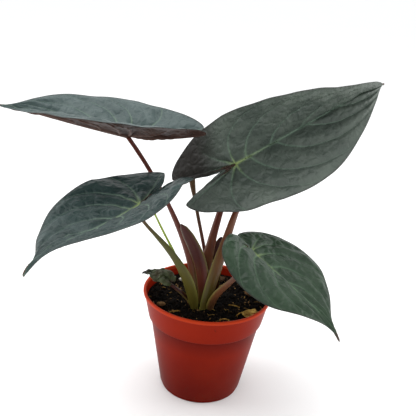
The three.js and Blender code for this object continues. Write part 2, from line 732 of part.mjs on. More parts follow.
const plant = new THREE.Group();
plant.position.set(CROWN.x, CROWN.y, crownTop);
Object.entries(LEAVES).forEach(([name, leaf]) => {
  plant.add(
    meshOf(`blade_${name}`, makeBlade(leaf), MATERIALS.blade),
    meshOf(`petiole_${name}`, makeStalk(STALKS[name], leaf), MATERIALS.stalk),
  );
});
plant.add(
  meshOf("withered_blade", makeBlade(WITHERED_LEAF), MATERIALS.withered),
  meshOf("withered_petiole", makeStalk(WITHERED_STALK, WITHERED_LEAF), MATERIALS.withered),
);
Object.entries(POINTED).forEach(([name, piece]) => {
  const material = name === "green_shoot" ? MATERIALS.shoot : MATERIALS.sheath;
  plant.add(meshOf(name, makePointed(piece), material));
});

// ---- The potted plant ----

const pottedPlant = new THREE.Group();
pottedPlant.add(
  meshOf("pot", makePot(), MATERIALS.pot),
  meshOf("soil", makeSoil(), MATERIALS.soil),
  meshOf("rhizome", makeRhizome(), MATERIALS.rhizome),
  plant,
);
Object.entries(CHIPS).forEach(([name, chip]) => {
  pottedPlant.add(meshOf(name, makeChip(chip), surface(chip.colour, 0.85)));
});
Object.entries(FIBRES).forEach(([name, fibre]) => {
  pottedPlant.add(meshOf(name, makeFibre(fibre), surface(fibre.colour, 0.8)));
});

export default pottedPlant;
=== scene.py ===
"""A potted alocasia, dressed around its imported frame.

The frame gives the pot, the soil, the rhizome and every leaf, stalk and sheath as plain solids. This
script grows the fine version of each one in the same place: quilted blades with ribs underneath,
stalks that open into sheaths at the foot, a moulded pot, and crumbling potting mix with fibres, bark
and perlite. Shapes are worked out in millimetres and become metres when a mesh is made.
"""

from __future__ import annotations

import logging
import math
from dataclasses import dataclass, field, replace
from enum import Enum
from typing import Iterable, Sequence, Union

import bpy
import numpy as np
from mathutils import Matrix, Vector, noise

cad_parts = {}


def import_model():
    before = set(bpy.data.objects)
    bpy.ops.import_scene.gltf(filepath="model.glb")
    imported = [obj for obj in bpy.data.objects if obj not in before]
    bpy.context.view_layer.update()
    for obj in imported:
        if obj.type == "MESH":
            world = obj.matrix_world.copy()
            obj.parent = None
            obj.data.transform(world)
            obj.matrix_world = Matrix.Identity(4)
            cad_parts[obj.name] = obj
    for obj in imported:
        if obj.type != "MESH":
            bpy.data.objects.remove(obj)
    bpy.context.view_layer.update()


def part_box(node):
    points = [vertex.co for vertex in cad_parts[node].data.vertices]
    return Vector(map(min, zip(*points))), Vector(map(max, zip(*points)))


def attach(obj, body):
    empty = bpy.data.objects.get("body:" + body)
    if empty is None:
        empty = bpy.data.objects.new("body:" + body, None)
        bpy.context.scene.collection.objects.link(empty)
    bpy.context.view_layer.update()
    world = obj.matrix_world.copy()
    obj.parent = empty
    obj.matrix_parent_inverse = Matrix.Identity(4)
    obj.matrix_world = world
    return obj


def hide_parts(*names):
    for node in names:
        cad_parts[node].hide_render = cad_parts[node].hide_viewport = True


LOG = logging.getLogger("alocasia")

Array = np.ndarray
Colour = tuple[float, float, float]
Triple = tuple[float, float, float]
Pair = tuple[float, float]
Face = tuple[int, ...]

MM = 0.001
BODY = "root"
SOIL_BELOW_RIM = 9.0


class Slot(Enum):
    """The record's material slots."""

    POT = "pot_plastic"
    SOIL = "potting_mix"
    RHIZOME = "rhizome_skin"
    BLADE = "leaf_blade"
    STALK = "leaf_stalk"
    SHEATH = "leaf_sheath"
    SHOOT = "green_shoot"
    WITHERED = "withered_leaf"
    BARK = "bark"
    PERLITE = "perlite"
    COIR = "coir_fibre"


class Side(Enum):
    """A half of a blade, seen from above with the tip ahead."""

    LEFT = 1
    RIGHT = -1


# ---- Numbers ----


def mix(low: Union[float, Array], high: Union[float, Array], share: Union[float, Array]) -> Array:
    """Returns the value a share of the way from low to high."""
    return low + (high - low) * share


def smooth(share: Union[float, Array]) -> Array:
    """Returns a share eased at both ends and held between 0 and 1."""
    t = np.clip(share, 0.0, 1.0)
    return t * t * (3 - 2 * t)


def unit(vectors: Array) -> Array:
    """Returns vectors scaled to length 1 along their last axis."""
    length = np.linalg.norm(vectors, axis=-1, keepdims=True)
    return vectors / np.maximum(length, 1e-12)


def roughness_field(points: Array, size: float, seed: float, octaves: int = 2) -> Array:
    """Samples smooth noise at points.

    Args:
        points: places in millimetres, one row each.
        size: the width of a swelling, in millimetres.
        seed: where in the noise to sample.
        octaves: how many finer layers are added.

    Returns:
        One value between about -1 and 1 for each point.
    """
    offset = Vector((seed * 17.3, seed * 5.1, seed * 9.7))
    places = (Vector(point) / size + offset for point in points.tolist())
    return np.array([noise.fractal(place, 1.0, 2.0, octaves) for place in places])


def centripetal(knots: Array, share: Array) -> Array:
    """Runs a centripetal curve through knots.

    Args:
        knots: the points that the curve passes through, one row each.
        share: places along the curve, 0 at its start and 1 at its end.

    Returns:
        One point for each share.
    """
    padded = np.vstack([2 * knots[0] - knots[1], knots, 2 * knots[-1] - knots[-2]])
    place = np.clip(share, 0, 1) * (len(knots) - 1)
    first = np.minimum(place.astype(int), len(knots) - 2)
    t = (place - first)[:, None]
    p0, p1, p2, p3 = (padded[first + i] for i in range(4))
    gaps = [np.maximum(np.linalg.norm(b - a, axis=1), 1e-9)[:, None] ** 0.5 for a, b in
            ((p0, p1), (p1, p2), (p2, p3))]
    before, here, after = gaps
    start = ((p1 - p0) / before - (p2 - p0) / (before + here) + (p2 - p1) / here) * here
    end = ((p2 - p1) / here - (p3 - p1) / (here + after) + (p3 - p2) / after) * here
    rise = p2 - p1
    return p1 + start * t + (3 * rise - 2 * start - end) * t**2 + (start + end - 2 * rise) * t**3


# ---- Meshes ----


@dataclass
class Skin:
    """A mesh in the making, in millimetres, with values that its materials read."""

    points: Array
    faces: list[Face]
    fields: dict[str, Array] = field(default_factory=dict)
    uv: Union[Array, None] = None
    material_of_face: Union[list[int], None] = None

    def triangles(self) -> Array:
        """Returns the faces as fans of triangles."""
        fans = [(f[0], f[i], f[i + 1]) for f in self.faces for i in range(1, len(f) - 1)]
        return np.array(fans)

    def normals(self) -> Array:
        """Returns each point's outward direction."""
        corners = self.triangles()
        a, b, c = (self.points[corners[:, i]] for i in range(3))
        across = np.cross(b - a, c - a)
        total = np.zeros_like(self.points)
        for i in range(3):
            np.add.at(total, corners[:, i], across)
        return unit(total)

    def volume(self) -> float:
        """Returns the enclosed volume, which is negative if the faces point inwards."""
        corners = self.triangles()
        a, b, c = (self.points[corners[:, i]] for i in range(3))
        return float(np.einsum("ij,ij->i", a, np.cross(b, c)).sum() / 6)

    def facing_out(self) -> "Skin":
        """Returns the same closed skin with its faces turned outwards."""
        if self.volume() < 0:
            self.faces = [tuple(reversed(f)) for f in self.faces]
        return self

    def merged(self, keys: Array) -> "Skin":
        """Joins the points that share a key, and averages what they carry.

        Args:
            keys: one row for each point; equal rows, to a ten thousandth, are one point.

        Returns:
            A new skin in which no face has lost its area.
        """
        whole = np.round(keys * 1e4).astype(np.int64)
        _, place = np.unique(whole, axis=0, return_inverse=True)
        place = place.ravel()
        count = np.bincount(place)

        def averaged(values: Array) -> Array:
            """Returns the mean of the values that fall together."""
            total = np.zeros((len(count),) + values.shape[1:])
            np.add.at(total, place, values)
            return (total.T / count).T

        faces = []
        for old in self.faces:
            ring = [int(place[i]) for i in old]
            kept = [v for i, v in enumerate(ring) if v != ring[i - 1]]
            if len(set(kept)) == len(kept) >= 3:
                faces.append(tuple(kept))
        fields = {name: averaged(values) for name, values in self.fields.items()}
        uv = None if self.uv is None else averaged(self.uv)
        return Skin(averaged(self.points), faces, fields, uv)

    def piece(self, name: str, materials: Sequence[bpy.types.Material], crease: float = 180.0) -> bpy.types.Object:
        """Makes the Blender object, in metres, at the origin.

        Args:
            name: the object's name.
            materials: its materials, in the order of material_of_face.
            crease: edges sharper than this many degrees stay sharp.

        Returns:
            The new object, linked to the scene.
        """
        mesh = bpy.data.meshes.new(name)
        mesh.from_pydata((self.points * MM).tolist(), [], self.faces)
        for title, values in self.fields.items():
            mesh.attributes.new(title, "FLOAT", "POINT").data.foreach_set("value", values.astype(np.float32))
        if self.uv is not None:
            corner = np.zeros(len(mesh.loops), dtype=np.int32)
            mesh.loops.foreach_get("vertex_index", corner)
            layer = mesh.uv_layers.new(name="skin")
            layer.data.foreach_set("uv", self.uv[corner].astype(np.float32).ravel())
        for material in materials:
            mesh.materials.append(material)
        if self.material_of_face is not None:
            mesh.polygons.foreach_set("material_index", self.material_of_face)
        mesh.shade_smooth()
        if crease < 180:
            mesh.set_sharp_from_angle(angle=math.radians(crease))
        mesh.update()
        thing = bpy.data.objects.new(name, mesh)
        bpy.context.scene.collection.objects.link(thing)
        return thing


def grid_faces(rows: int, columns: int, closed: bool = False, start: int = 0) -> list[Face]:
    """Lists the quads of a grid of points, row by row.

    Args:
        rows: how many rows of points.
        columns: how many points in a row.
        closed: whether each row is a ring.
        start: the index of the first point.

    Returns:
        The quads.
    """
    spans = columns if closed else columns - 1
    quads = []
    for r in range(rows - 1):
        for c in range(spans):
            a = start + r * columns + c
            b = start + r * columns + (c + 1) % columns
            quads.append((a, b, b + columns, a + columns))
    return quads


def loft(rings: Array, fields: dict[str, Array], uv: Array) -> Skin:
    """Closes a stack of rings into a solid.

    Args:
        rings: points, as ring by side by coordinate.
        fields: values for each point, ring by side.
        uv: two pattern coordinates for each point, ring by side.

    Returns:
        A closed skin with a fan over each end.
    """
    count, sides = rings.shape[:2]
    ends = np.stack([rings[0].mean(0), rings[-1].mean(0)])
    points = np.vstack([rings.reshape(-1, 3), ends])
    faces = grid_faces(count, sides, closed=True)
    low, high = count * sides, count * sides + 1
    last = (count - 1) * sides
    for s in range(sides):
        following = (s + 1) % sides
        faces += [(low, following, s), (high, last + s, last + following)]
    carried = {
        name: np.concatenate([values.ravel(), [values[0].mean(), values[-1].mean()]])
        for name, values in fields.items()
    }
    flat = np.vstack([uv.reshape(-1, 2), uv[0].mean(0), uv[-1].mean(0)])
    return Skin(points, faces, carried, flat).facing_out()


def revolved(profile: Array, segments: int) -> Skin:
    """Turns a profile that runs from axis to axis into a closed solid about the vertical.

    Args:
        profile: radius and height of each point; the first and last radius are 0.
        segments: how many steps round the axis.

    Returns:
        A closed skin.
    """
    angle = np.arange(segments) / segments * 2 * math.pi
    ring = np.stack([np.cos(angle), np.sin(angle)], 1)
    body = profile[1:-1]
    rows = [np.column_stack([ring * radius, np.full(segments, height)]) for radius, height in body]
    poles = np.array([[0, 0, profile[0][1]], [0, 0, profile[-1][1]]])
    points = np.vstack([*rows, poles])
    faces = grid_faces(len(body), segments, closed=True)
    first, final = len(body) * segments, len(body) * segments + 1
    last = (len(body) - 1) * segments
    for s in range(segments):
        following = (s + 1) % segments
        faces += [(first, following, s), (final, last + s, last + following)]
    return Skin(points, faces).facing_out()


def rounded(corners: Sequence[Pair], radii: Sequence[float], steps: int = 5) -> Array:
    """Rounds a profile's corners.

    Args:
        corners: the profile's points.
        radii: how far from each corner its rounding starts; 0 keeps it sharp.
        steps: how many spans each rounding has.

    Returns:
        The profile with its roundings, one row a point.
    """
    path: list[Array] = []
    for i, (corner, radius) in enumerate(zip(corners, radii)):
        here = np.array(corner, float)
        if radius <= 0 or i in (0, len(corners) - 1):
            path.append(here)
            continue
        before = unit(np.array(corners[i - 1], float) - here) * radius
        after = unit(np.array(corners[i + 1], float) - here) * radius
        for step in range(steps + 1):
            t = step / steps
            path.append(here + before * (1 - t) ** 2 + after * t**2)
    return np.array(path)


def carry(thing: bpy.types.Object, slot: Slot, *nodes: str) -> bpy.types.Object:
    """Hands a finished piece to the frame.

    Args:
        thing: the piece.
        slot: the record's slot for the piece; not used.
        nodes: the frame's nodes that it stands for.

    Returns:
        The same piece.
    """
    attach(thing, BODY)
    if nodes:
        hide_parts(*nodes)
    LOG.info("%s: %d faces, stands for %s", thing.name, len(thing.data.polygons), ", ".join(nodes) or "nothing")
    return thing


# ---- Materials ----

Factor = Union["Value", float]


class Value:
    """A number that varies over a surface, written as ordinary arithmetic."""

    def __init__(self, dye: "Dye", socket: bpy.types.NodeSocket) -> None:
        """Wraps a node's output."""
        self.dye = dye
        self.socket = socket

    def _sum(self, operation: str, *values: Factor) -> "Value":
        """Returns the result of one Math node."""
        made = self.dye.node("ShaderNodeMath", {"operation": operation}, dict(enumerate(values)))
        return Value(self.dye, made.outputs[0])

    def __add__(self, other: Factor) -> "Value":
        """Returns self + other."""
        return self._sum("ADD", self, other)

    __radd__ = __add__

    def __sub__(self, other: Factor) -> "Value":
        """Returns self - other."""
        return self._sum("SUBTRACT", self, other)

    def __rsub__(self, other: Factor) -> "Value":
        """Returns other - self."""
        return self._sum("SUBTRACT", other, self)

    def __mul__(self, other: Factor) -> "Value":
        """Returns self * other."""
        return self._sum("MULTIPLY", self, other)

    __rmul__ = __mul__

    def held(self) -> "Value":
        """Returns the value held between 0 and 1."""
        return self._sum("MINIMUM", self._sum("MAXIMUM", self, 0.0), 1.0)

    def between(self, low: float, high: float) -> "Value":
        """Returns 0 at low and 1 at high, eased, and held outside them."""
        settings = {"interpolation_type": "SMOOTHSTEP"}
        made = self.dye.node("ShaderNodeMapRange", settings, {"Value": self, "From Min": low, "From Max": high})
        return Value(self.dye, made.outputs["Result"])


class Dye:
    """One material's node tree, and the ways to fill it."""

    def __init__(self, name: str) -> None:
        """Starts a material with an empty Principled surface."""
        self.material = bpy.data.materials.new(name)
        self.material.use_nodes = True
        self.tree = self.material.node_tree
        self.surface = self.tree.nodes["Principled BSDF"]

    def node(self, kind: str, settings: dict[str, object], sockets: dict[Union[int, str], object]) -> bpy.types.Node:
        """Makes a node.

        Args:
            kind: the node's type.
            settings: its properties, set before its sockets.
            sockets: a value, a Value or a node output for each input, by name or place.

        Returns:
            The new node.
        """
        made = self.tree.nodes.new(kind)
        for name, setting in settings.items():
            setattr(made, name, setting)
        for key, value in sockets.items():
            self.feed(made.inputs[key], value)
        return made

    def feed(self, socket: bpy.types.NodeSocket, value: object) -> None:
        """Links or sets one input."""
        if isinstance(value, Value):
            self.tree.links.new(value.socket, socket)
        elif isinstance(value, bpy.types.NodeSocket):
            self.tree.links.new(value, socket)
        elif isinstance(value, tuple) and len(value) == 3 and socket.type == "RGBA":
            socket.default_value = (*value, 1.0)
        else:
            socket.default_value = value

    def set(self, **sockets: object) -> None:
        """Sets inputs of the surface; underscores stand for spaces, as in Base_Color."""
        for name, value in sockets.items():
            self.feed(self.surface.inputs[name.replace("_", " ")], value)

    def field(self, name: str) -> Value:
        """Returns a value that the mesh carries at its points."""
        return Value(self, self.node("ShaderNodeAttribute", {"attribute_name": name}, {}).outputs["Fac"])

    def place(self) -> bpy.types.NodeSocket:
        """Returns the point's place in the object, in metres."""
        return self.node("ShaderNodeTexCoord", {}, {}).outputs["Object"]

    def skin_place(self, stretch: Triple = (1.0, 1.0, 1.0)) -> bpy.types.NodeSocket:
        """Returns the place in the mesh's own pattern map, stretched by a factor on each axis."""
        source = self.node("ShaderNodeUVMap", {"uv_map": "skin"}, {}).outputs["UV"]
        return self.node("ShaderNodeMapping", {}, {"Vector": source, "Scale": stretch}).outputs["Vector"]

    def mottle(self, place: bpy.types.NodeSocket, scale: float, detail: float = 3.0) -> Value:
        """Returns soft noise between 0 and 1."""
        sockets = {"Vector": place, "Scale": scale, "Detail": detail, "Roughness": 0.55}
        return Value(self, self.node("ShaderNodeTexNoise", {}, sockets).outputs[0])

    def cells(self, place: bpy.types.NodeSocket, scale: float) -> Value:
        """Returns the distance from the walls of a net of cells."""
        made = self.node("ShaderNodeTexVoronoi", {"feature": "DISTANCE_TO_EDGE"}, {"Vector": place, "Scale": scale})
        return Value(self, made.outputs["Distance"])

    def blend(self, factor: Factor, low: object, high: object) -> bpy.types.NodeSocket:
        """Returns a colour mixed from two."""
        made = self.node("ShaderNodeMix", {"data_type": "RGBA"}, {0: factor, 6: low, 7: high})
        return made.outputs[2]

    def bump(self, height: Value, distance: float, strength: float) -> bpy.types.NodeSocket:
        """Returns a normal bent by a height, in metres."""
        sockets = {"Height": height, "Distance": distance, "Strength": strength}
        return self.node("ShaderNodeBump", {}, sockets).outputs["Normal"]


@dataclass(frozen=True)
class LeafTop:
    """The waxy upper face of a blade, with pale veins and a bright node, and optional painted shade over the left
    basal lobe.
    """

    name: str
    deep: Colour = (0.0062, 0.0190, 0.0160)
    fresh: Colour = (0.0150, 0.0340, 0.0285)
    vein: Colour = (0.120, 0.180, 0.135)
    node: Colour = (0.28, 0.36, 0.110)
    edge: Colour = (0.020, 0.018, 0.016)
    # How strongly painted shade darkens the left basal lobe towards the edge colour; 0 leaves it out.
    painted_lobe_shade: float = 0.0
    roughness: float = 0.42

    def material(self) -> bpy.types.Material:
        """Builds the material."""
        dye = Dye(self.name)
        skin = dye.skin_place()
        vein = dye.field("vein")
        near_node = dye.field("near_node")
        cloud = dye.mottle(skin, 3.2, 4.0)
        net = dye.cells(skin, 14.0)
        fine = dye.cells(skin, 46.0)
        net_line = 1.0 - net.between(0.0, 0.10)
        fine_line = 1.0 - fine.between(0.0, 0.12)
        colour = dye.blend(cloud.between(0.34, 0.68), self.deep, self.fresh)
        colour = dye.blend(net_line * 0.06 + fine_line * 0.03, colour, self.vein)
        colour = dye.blend((vein * 0.95).held(), colour, self.vein)
        colour = dye.blend((near_node * vein).held(), colour, self.node)
        colour = dye.blend(dye.field("rim") * 0.7, colour, self.edge)
        # Painted shade: the left basal lobe darkens towards the edge colour.
        if self.painted_lobe_shade:
            colour = dye.blend(dye.field("left_lobe") * self.painted_lobe_shade, colour, self.edge)
        grain = dye.mottle(skin, 240.0, 2.0)
        height = net.between(0.0, 0.34) * 0.8 + fine.between(0.0, 0.3) * 0.10 + grain * 0.03
        dye.set(
            Base_Color=colour,
            Roughness=self.roughness + (cloud - 0.5) * 0.16 + vein * 0.10,
            Normal=dye.bump(height, 0.0008, 0.75),
            IOR=1.36,
        )
        return dye.material


@dataclass(frozen=True)
class LeafUnder:
    """The purple-brown lower face of a blade, with raised paler ribs."""

    name: str
    deep: Colour = (0.024, 0.0100, 0.0070)
    dusty: Colour = (0.056, 0.0270, 0.0190)
    rib: Colour = (0.115, 0.0560, 0.0400)
    roughness: float = 0.52

    def material(self) -> bpy.types.Material:
        """Builds the material."""
        dye = Dye(self.name)
        skin = dye.skin_place()
        vein = dye.field("vein")
        cloud = dye.mottle(skin, 4.5, 4.0)
        net = dye.cells(skin, 24.0)
        colour = dye.blend(cloud.between(0.35, 0.70), self.deep, self.dusty)
        colour = dye.blend((1.0 - net.between(0.0, 0.12)) * 0.22, colour, self.rib)
        colour = dye.blend((vein * 0.75).held(), colour, self.rib)
        dye.set(
            Base_Color=colour,
            Roughness=self.roughness + (cloud - 0.5) * 0.15,
            Normal=dye.bump(net.between(0.0, 0.35), 0.00035, 0.6),
            IOR=1.33,
        )
        return dye.material


@dataclass(frozen=True)
class StalkSkin:
    """A smooth stalk whose colour runs from its foot to its head, streaked along its length."""

    name: str
    foot: Colour
    middle: Colour
    head: Colour
    wing: Colour = (0.190, 0.185, 0.035)
    shift: float = 0.0
    roughness: float = 0.36

    def material(self) -> bpy.types.Material:
        """Builds the material."""
        dye = Dye(self.name)
        along = dye.field("along")
        streak = dye.mottle(dye.skin_place((26.0, 1.1, 1.0)), 1.0, 3.0)
        blotch = dye.mottle(dye.skin_place((3.0, 3.0, 1.0)), 1.0, 3.0)
        place = along + (streak - 0.5) * 0.22 + (blotch - 0.5) * 0.16 + self.shift
        colour = dye.blend(place.between(0.05, 0.34), self.foot, self.middle)
        colour = dye.blend(place.between(0.34, 0.72), colour, self.head)
        colour = dye.blend((streak.between(0.55, 0.8) * 0.35).held(), colour, self.wing)
        colour = dye.blend((dye.field("wing") * 0.75).held(), colour, self.wing)
        dye.set(
            Base_Color=colour,
            Roughness=self.roughness + (blotch - 0.5) * 0.18,
            Normal=dye.bump(streak, 0.00018, 0.6),
            IOR=1.30,
        )
        return dye.material


@dataclass(frozen=True)
class WitheredSkin:
    """A leaf that has dried in folds, green going to brown and black at its ends."""

    name: str
    green: Colour = (0.044, 0.058, 0.017)
    brown: Colour = (0.040, 0.024, 0.010)
    char: Colour = (0.006, 0.005, 0.004)

    def material(self) -> bpy.types.Material:
        """Builds the material."""
        dye = Dye(self.name)
        place = dye.place()
        patch = dye.mottle(place, 110.0, 4.0)
        crease = dye.mottle(place, 420.0, 3.0)
        colour = dye.blend(patch.between(0.42, 0.66), self.green, self.brown)
        colour = dye.blend(dye.field("along").between(0.62, 0.92), colour, self.char)
        colour = dye.blend(crease.between(0.6, 0.8) * 0.4, colour, self.char)
        dye.set(
            Base_Color=colour,
            Roughness=0.55 + patch * 0.25,
            Normal=dye.bump(crease + patch, 0.0006, 0.8),
        )
        return dye.material


@dataclass(frozen=True)
class PotPlastic:
    """Thin moulded plastic, satin outside, with a clean lip and soil dust towards the foot. Painted shade darkens
    the body towards the foot, draws a dark line under the collar's step and darkens the inside wall.
    """

    name: str = "pot_terracotta_plastic"
    body: Colour = (0.180, 0.0075, 0.0007)
    collar: Colour = (0.205, 0.0090, 0.0010)
    lip: Colour = (0.400, 0.0340, 0.0080)
    # Painted shade, for the body towards the foot and for the line under the collar.
    painted_shade: Colour = (0.070, 0.0013, 0.0002)
    # Painted shade of the inside wall.
    shade: Colour = (0.050, 0.0040, 0.0015)
    dust: Colour = (0.060, 0.0240, 0.0130)

    def material(self) -> bpy.types.Material:
        """Builds the material."""
        dye = Dye(self.name)
        place = dye.place()
        cloud = dye.mottle(place, 22.0, 4.0)
        speck = dye.mottle(place, 620.0, 2.0)
        along_wall = dye.node("ShaderNodeMapping", {}, {"Vector": place, "Scale": (900.0, 900.0, 26.0)})
        draw = dye.mottle(along_wall.outputs["Vector"], 1.0, 2.0)
        # Painted shade: the body darkens towards the foot.
        colour = dye.blend(dye.field("low") * 0.75, self.body, self.painted_shade)
        colour = dye.blend(dye.field("collar"), colour, self.collar)
        colour = dye.blend(cloud.between(0.35, 0.75) * 0.10, colour, self.lip)
        # Painted shade: a dark line just under the collar's step.
        colour = dye.blend(dye.field("groove") * 0.8, colour, self.painted_shade)
        # Painted shade: the inside wall is darker.
        colour = dye.blend(dye.field("inside"), colour, self.shade)
        colour = dye.blend(dye.field("lip"), colour, self.lip)
        colour = dye.blend(dye.field("inside") * cloud.between(0.40, 0.62) * 0.7, colour, self.dust)
        colour = dye.blend(dye.field("low") * speck.between(0.60, 0.72) * 0.5, colour, self.dust)
        dye.set(
            Base_Color=colour,
            Roughness=0.33 + cloud * 0.12 + speck * 0.05,
            Normal=dye.bump(speck * 0.5 + draw * 0.5 + cloud * 2.0, 0.00010, 0.55),
            IOR=1.14,
        )
        return dye.material


@dataclass(frozen=True)
class Grit:
    """A rough dry or moist surface with three tones: soil, bark, perlite, corm skin or coir."""

    name: str
    dark: Colour
    middle: Colour
    light: Colour
    scale: float = 400.0
    relief: float = 0.0008
    roughness: float = 0.86
    light_share: float = 0.35
    stretch: Triple = (1.0, 1.0, 1.0)

    def material(self) -> bpy.types.Material:
        """Builds the material."""
        dye = Dye(self.name)
        turned = dye.node("ShaderNodeMapping", {}, {"Vector": dye.place(), "Scale": self.stretch}).outputs["Vector"]
        broad = dye.mottle(turned, self.scale * 0.35, 3.0)
        close = dye.mottle(turned, self.scale, 5.0)
        colour = dye.blend(broad.between(0.38, 0.64), self.dark, self.middle)
        threshold = 0.74 - 0.3 * self.light_share
        colour = dye.blend(close.between(threshold, threshold + 0.12), colour, self.light)
        dye.set(
            Base_Color=colour,
            Roughness=self.roughness - close * 0.12,
            Normal=dye.bump(close + broad, self.relief, 0.9),
            IOR=1.15,
        )
        return dye.material


# ---- Leaves ----

# The blade's margin inside the sinus: share of the way back along the lobe, half widths across,
# and what is left of that width in a closed sinus.
INNER_MARGIN: tuple[Triple, ...] = ((0, 0, 0), (0.42, 0.095, 0), (0.78, 0.2, 0.35))
CLOSED_LOBE = 0.6
DRIP_TIP = 0.8  # past this share of the length the margin belongs to the drip tip
# From the lobe's end to the tip: lobe lengths or blade lengths along, half widths across.
OUTER_MARGIN: tuple[Pair, ...] = (
    (-1.0, 0.29),
    (-0.9, 0.51),
    (-0.54, 0.79),
    (0.0, 0.96),
    (0.2, 1.0),
    (0.42, 0.895),
    (0.65, 0.57),
    (0.84, 0.22),
    (0.94, 0.055),
    (1.0, 0.0),
)
BASAL_SHARE = 0.5  # the share of the margin that is fed straight from the node
SPINE_SPREAD = 1.65
VEIN_BOW = 0.1
SPINE_SAMPLES = 121


@dataclass(frozen=True)
class LeafShape:
    """How a blade is cut, folded, cupped, bent and held. Millimetres and degrees.

    The pairs hold the left half's value and the right half's. A blade's own frame has its tip on +X
    and its left half on +Y, with the node, where the stalk joins, at 0.
    """

    length: float
    half_width: float
    lobe: float
    sinus: float
    sinus_width: float
    fold: Pair
    cup: Pair
    lobe_fold: Pair
    fold_fade: float
    bend: float
    tip_bend: float
    lobe_droop: float
    twist: float
    tip_twist: float
    heading: float
    pitch: float
    roll: float
    node: Triple
    lobes: Pair = (1.0, 1.0)
    tip_width: float = 0.75

    def margin(self, side: Side, station: Array) -> Array:
        """Returns flat points of one half's margin, from the sinus at station 0 to the tip at 1."""
        lobe = self.lobe * self.lobes[0 if side is Side.LEFT else 1]
        inner = [
            (-mix(self.sinus, lobe, back), self.half_width * across * mix(closed, 1, self.sinus_width))
            for back, across, closed in INNER_MARGIN
        ]
        outer = [
            (
                along * (lobe if along < 0 else self.length),
                across * self.half_width * (self.tip_width if along > DRIP_TIP else 1.0),
            )
            for along, across in OUTER_MARGIN
        ]
        outer[0] = (outer[0][0], outer[0][1] * mix(CLOSED_LOBE, 1, self.sinus_width))
        return centripetal(np.array([*inner, *outer]), station)

    def flat(self, side: Side, station: Array, span: Array) -> tuple[Array, Array]:
        """Returns how far along and across the flat half a point lies.

        Args:
            side: the half.
            station: the place of the vein line round the margin.
            span: 0 at the midrib and 1 at the margin.

        Returns:
            Two arrays of the same shape as station.
        """
        edge = self.margin(side, station.ravel()).reshape(station.shape + (2,))
        past = np.clip((station - BASAL_SHARE) / (1 - BASAL_SHARE), 0, 1)
        spine = self.length * past**SPINE_SPREAD
        dx = edge[..., 0] - spine
        dy = edge[..., 1]
        bow = VEIN_BOW * np.clip((station - 0.42) / 0.2, 0, 1) * np.clip((1 - station) / 0.15, 0, 1)
        lift = bow * 4 * span * (1 - span)
        return spine + dx * span - dy * lift, dy * span + dx * lift

    def slope(self, along: Array) -> Array:
        """Returns the midrib's slope in radians, rising towards the tip."""
        front = np.clip(along / self.length, 0, 1)
        back = np.clip(-along / self.lobe, 0, 1)
        tip = np.clip((front - 0.6) / 0.4, 0, 1) ** 2
        return np.radians(self.lobe_droop * back - self.bend * front - self.tip_bend * tip)

    def bent(self, along: Array) -> tuple[Array, Array]:
        """Returns the bent midrib's distance ahead and height at a flat distance along."""
        table = np.linspace(-self.lobe, self.length, SPINE_SAMPLES)
        slopes = self.slope(table)
        between = (slopes[1:] + slopes[:-1]) / 2
        step = table[1] - table[0]
        ahead = np.concatenate([[0], np.cumsum(np.cos(between) * step)])
        height = np.concatenate([[0], np.cumsum(np.sin(between) * step)])
        ahead -= np.interp(0, table, ahead)
        height -= np.interp(0, table, height)
        return np.interp(along, table, ahead), np.interp(along, table, height)

    def shaped(self, side: Side, along: Array, across: Array) -> Array:
        """Folds, cups, twists and bends flat points, and places them in the plant.

        Args:
            side: the half.
            along: distance towards the tip.
            across: distance from the midrib.

        Returns:
            Points in millimetres, with one more axis than along.
        """
        half = 0 if side is Side.LEFT else 1
        front = np.clip(along / self.length, 0, 1)
        back = np.clip(-along / self.lobe, 0, 1)
        body = self.fold[half] * (1 - self.fold_fade * front) * (1 - back)
        fold = np.radians(body + self.lobe_fold[half] * back)
        curl = math.radians(self.cup[half]) / self.half_width
        y = side.value * (np.sin(fold) - np.sin(fold - curl * across)) / curl
        z = (np.cos(fold - curl * across) - np.cos(fold)) / curl
        twist = np.radians(self.twist * along / self.length + self.tip_twist * front**3)
        sideways = y * np.cos(twist) - z * np.sin(twist)
        upwards = y * np.sin(twist) + z * np.cos(twist)
        slope = self.slope(along)
        ahead, height = self.bent(along)
        own = np.stack([ahead - np.sin(slope) * upwards, sideways, height + np.cos(slope) * upwards], -1)
        return own @ self.turn().T + np.array(self.node)

    def turn(self) -> Array:
        """Returns the rotation from the blade's own frame into the plant."""
        heading = Matrix.Rotation(math.radians(self.heading), 3, "Z")
        pitch = Matrix.Rotation(-math.radians(self.pitch), 3, "Y")
        roll = Matrix.Rotation(math.radians(self.roll), 3, "X")
        return np.array(heading @ pitch @ roll)

    def under(self) -> Array:
        """Returns the direction that points straight down out of the blade at its node."""
        return self.turn() @ np.array([0.0, 0.0, -1.0])


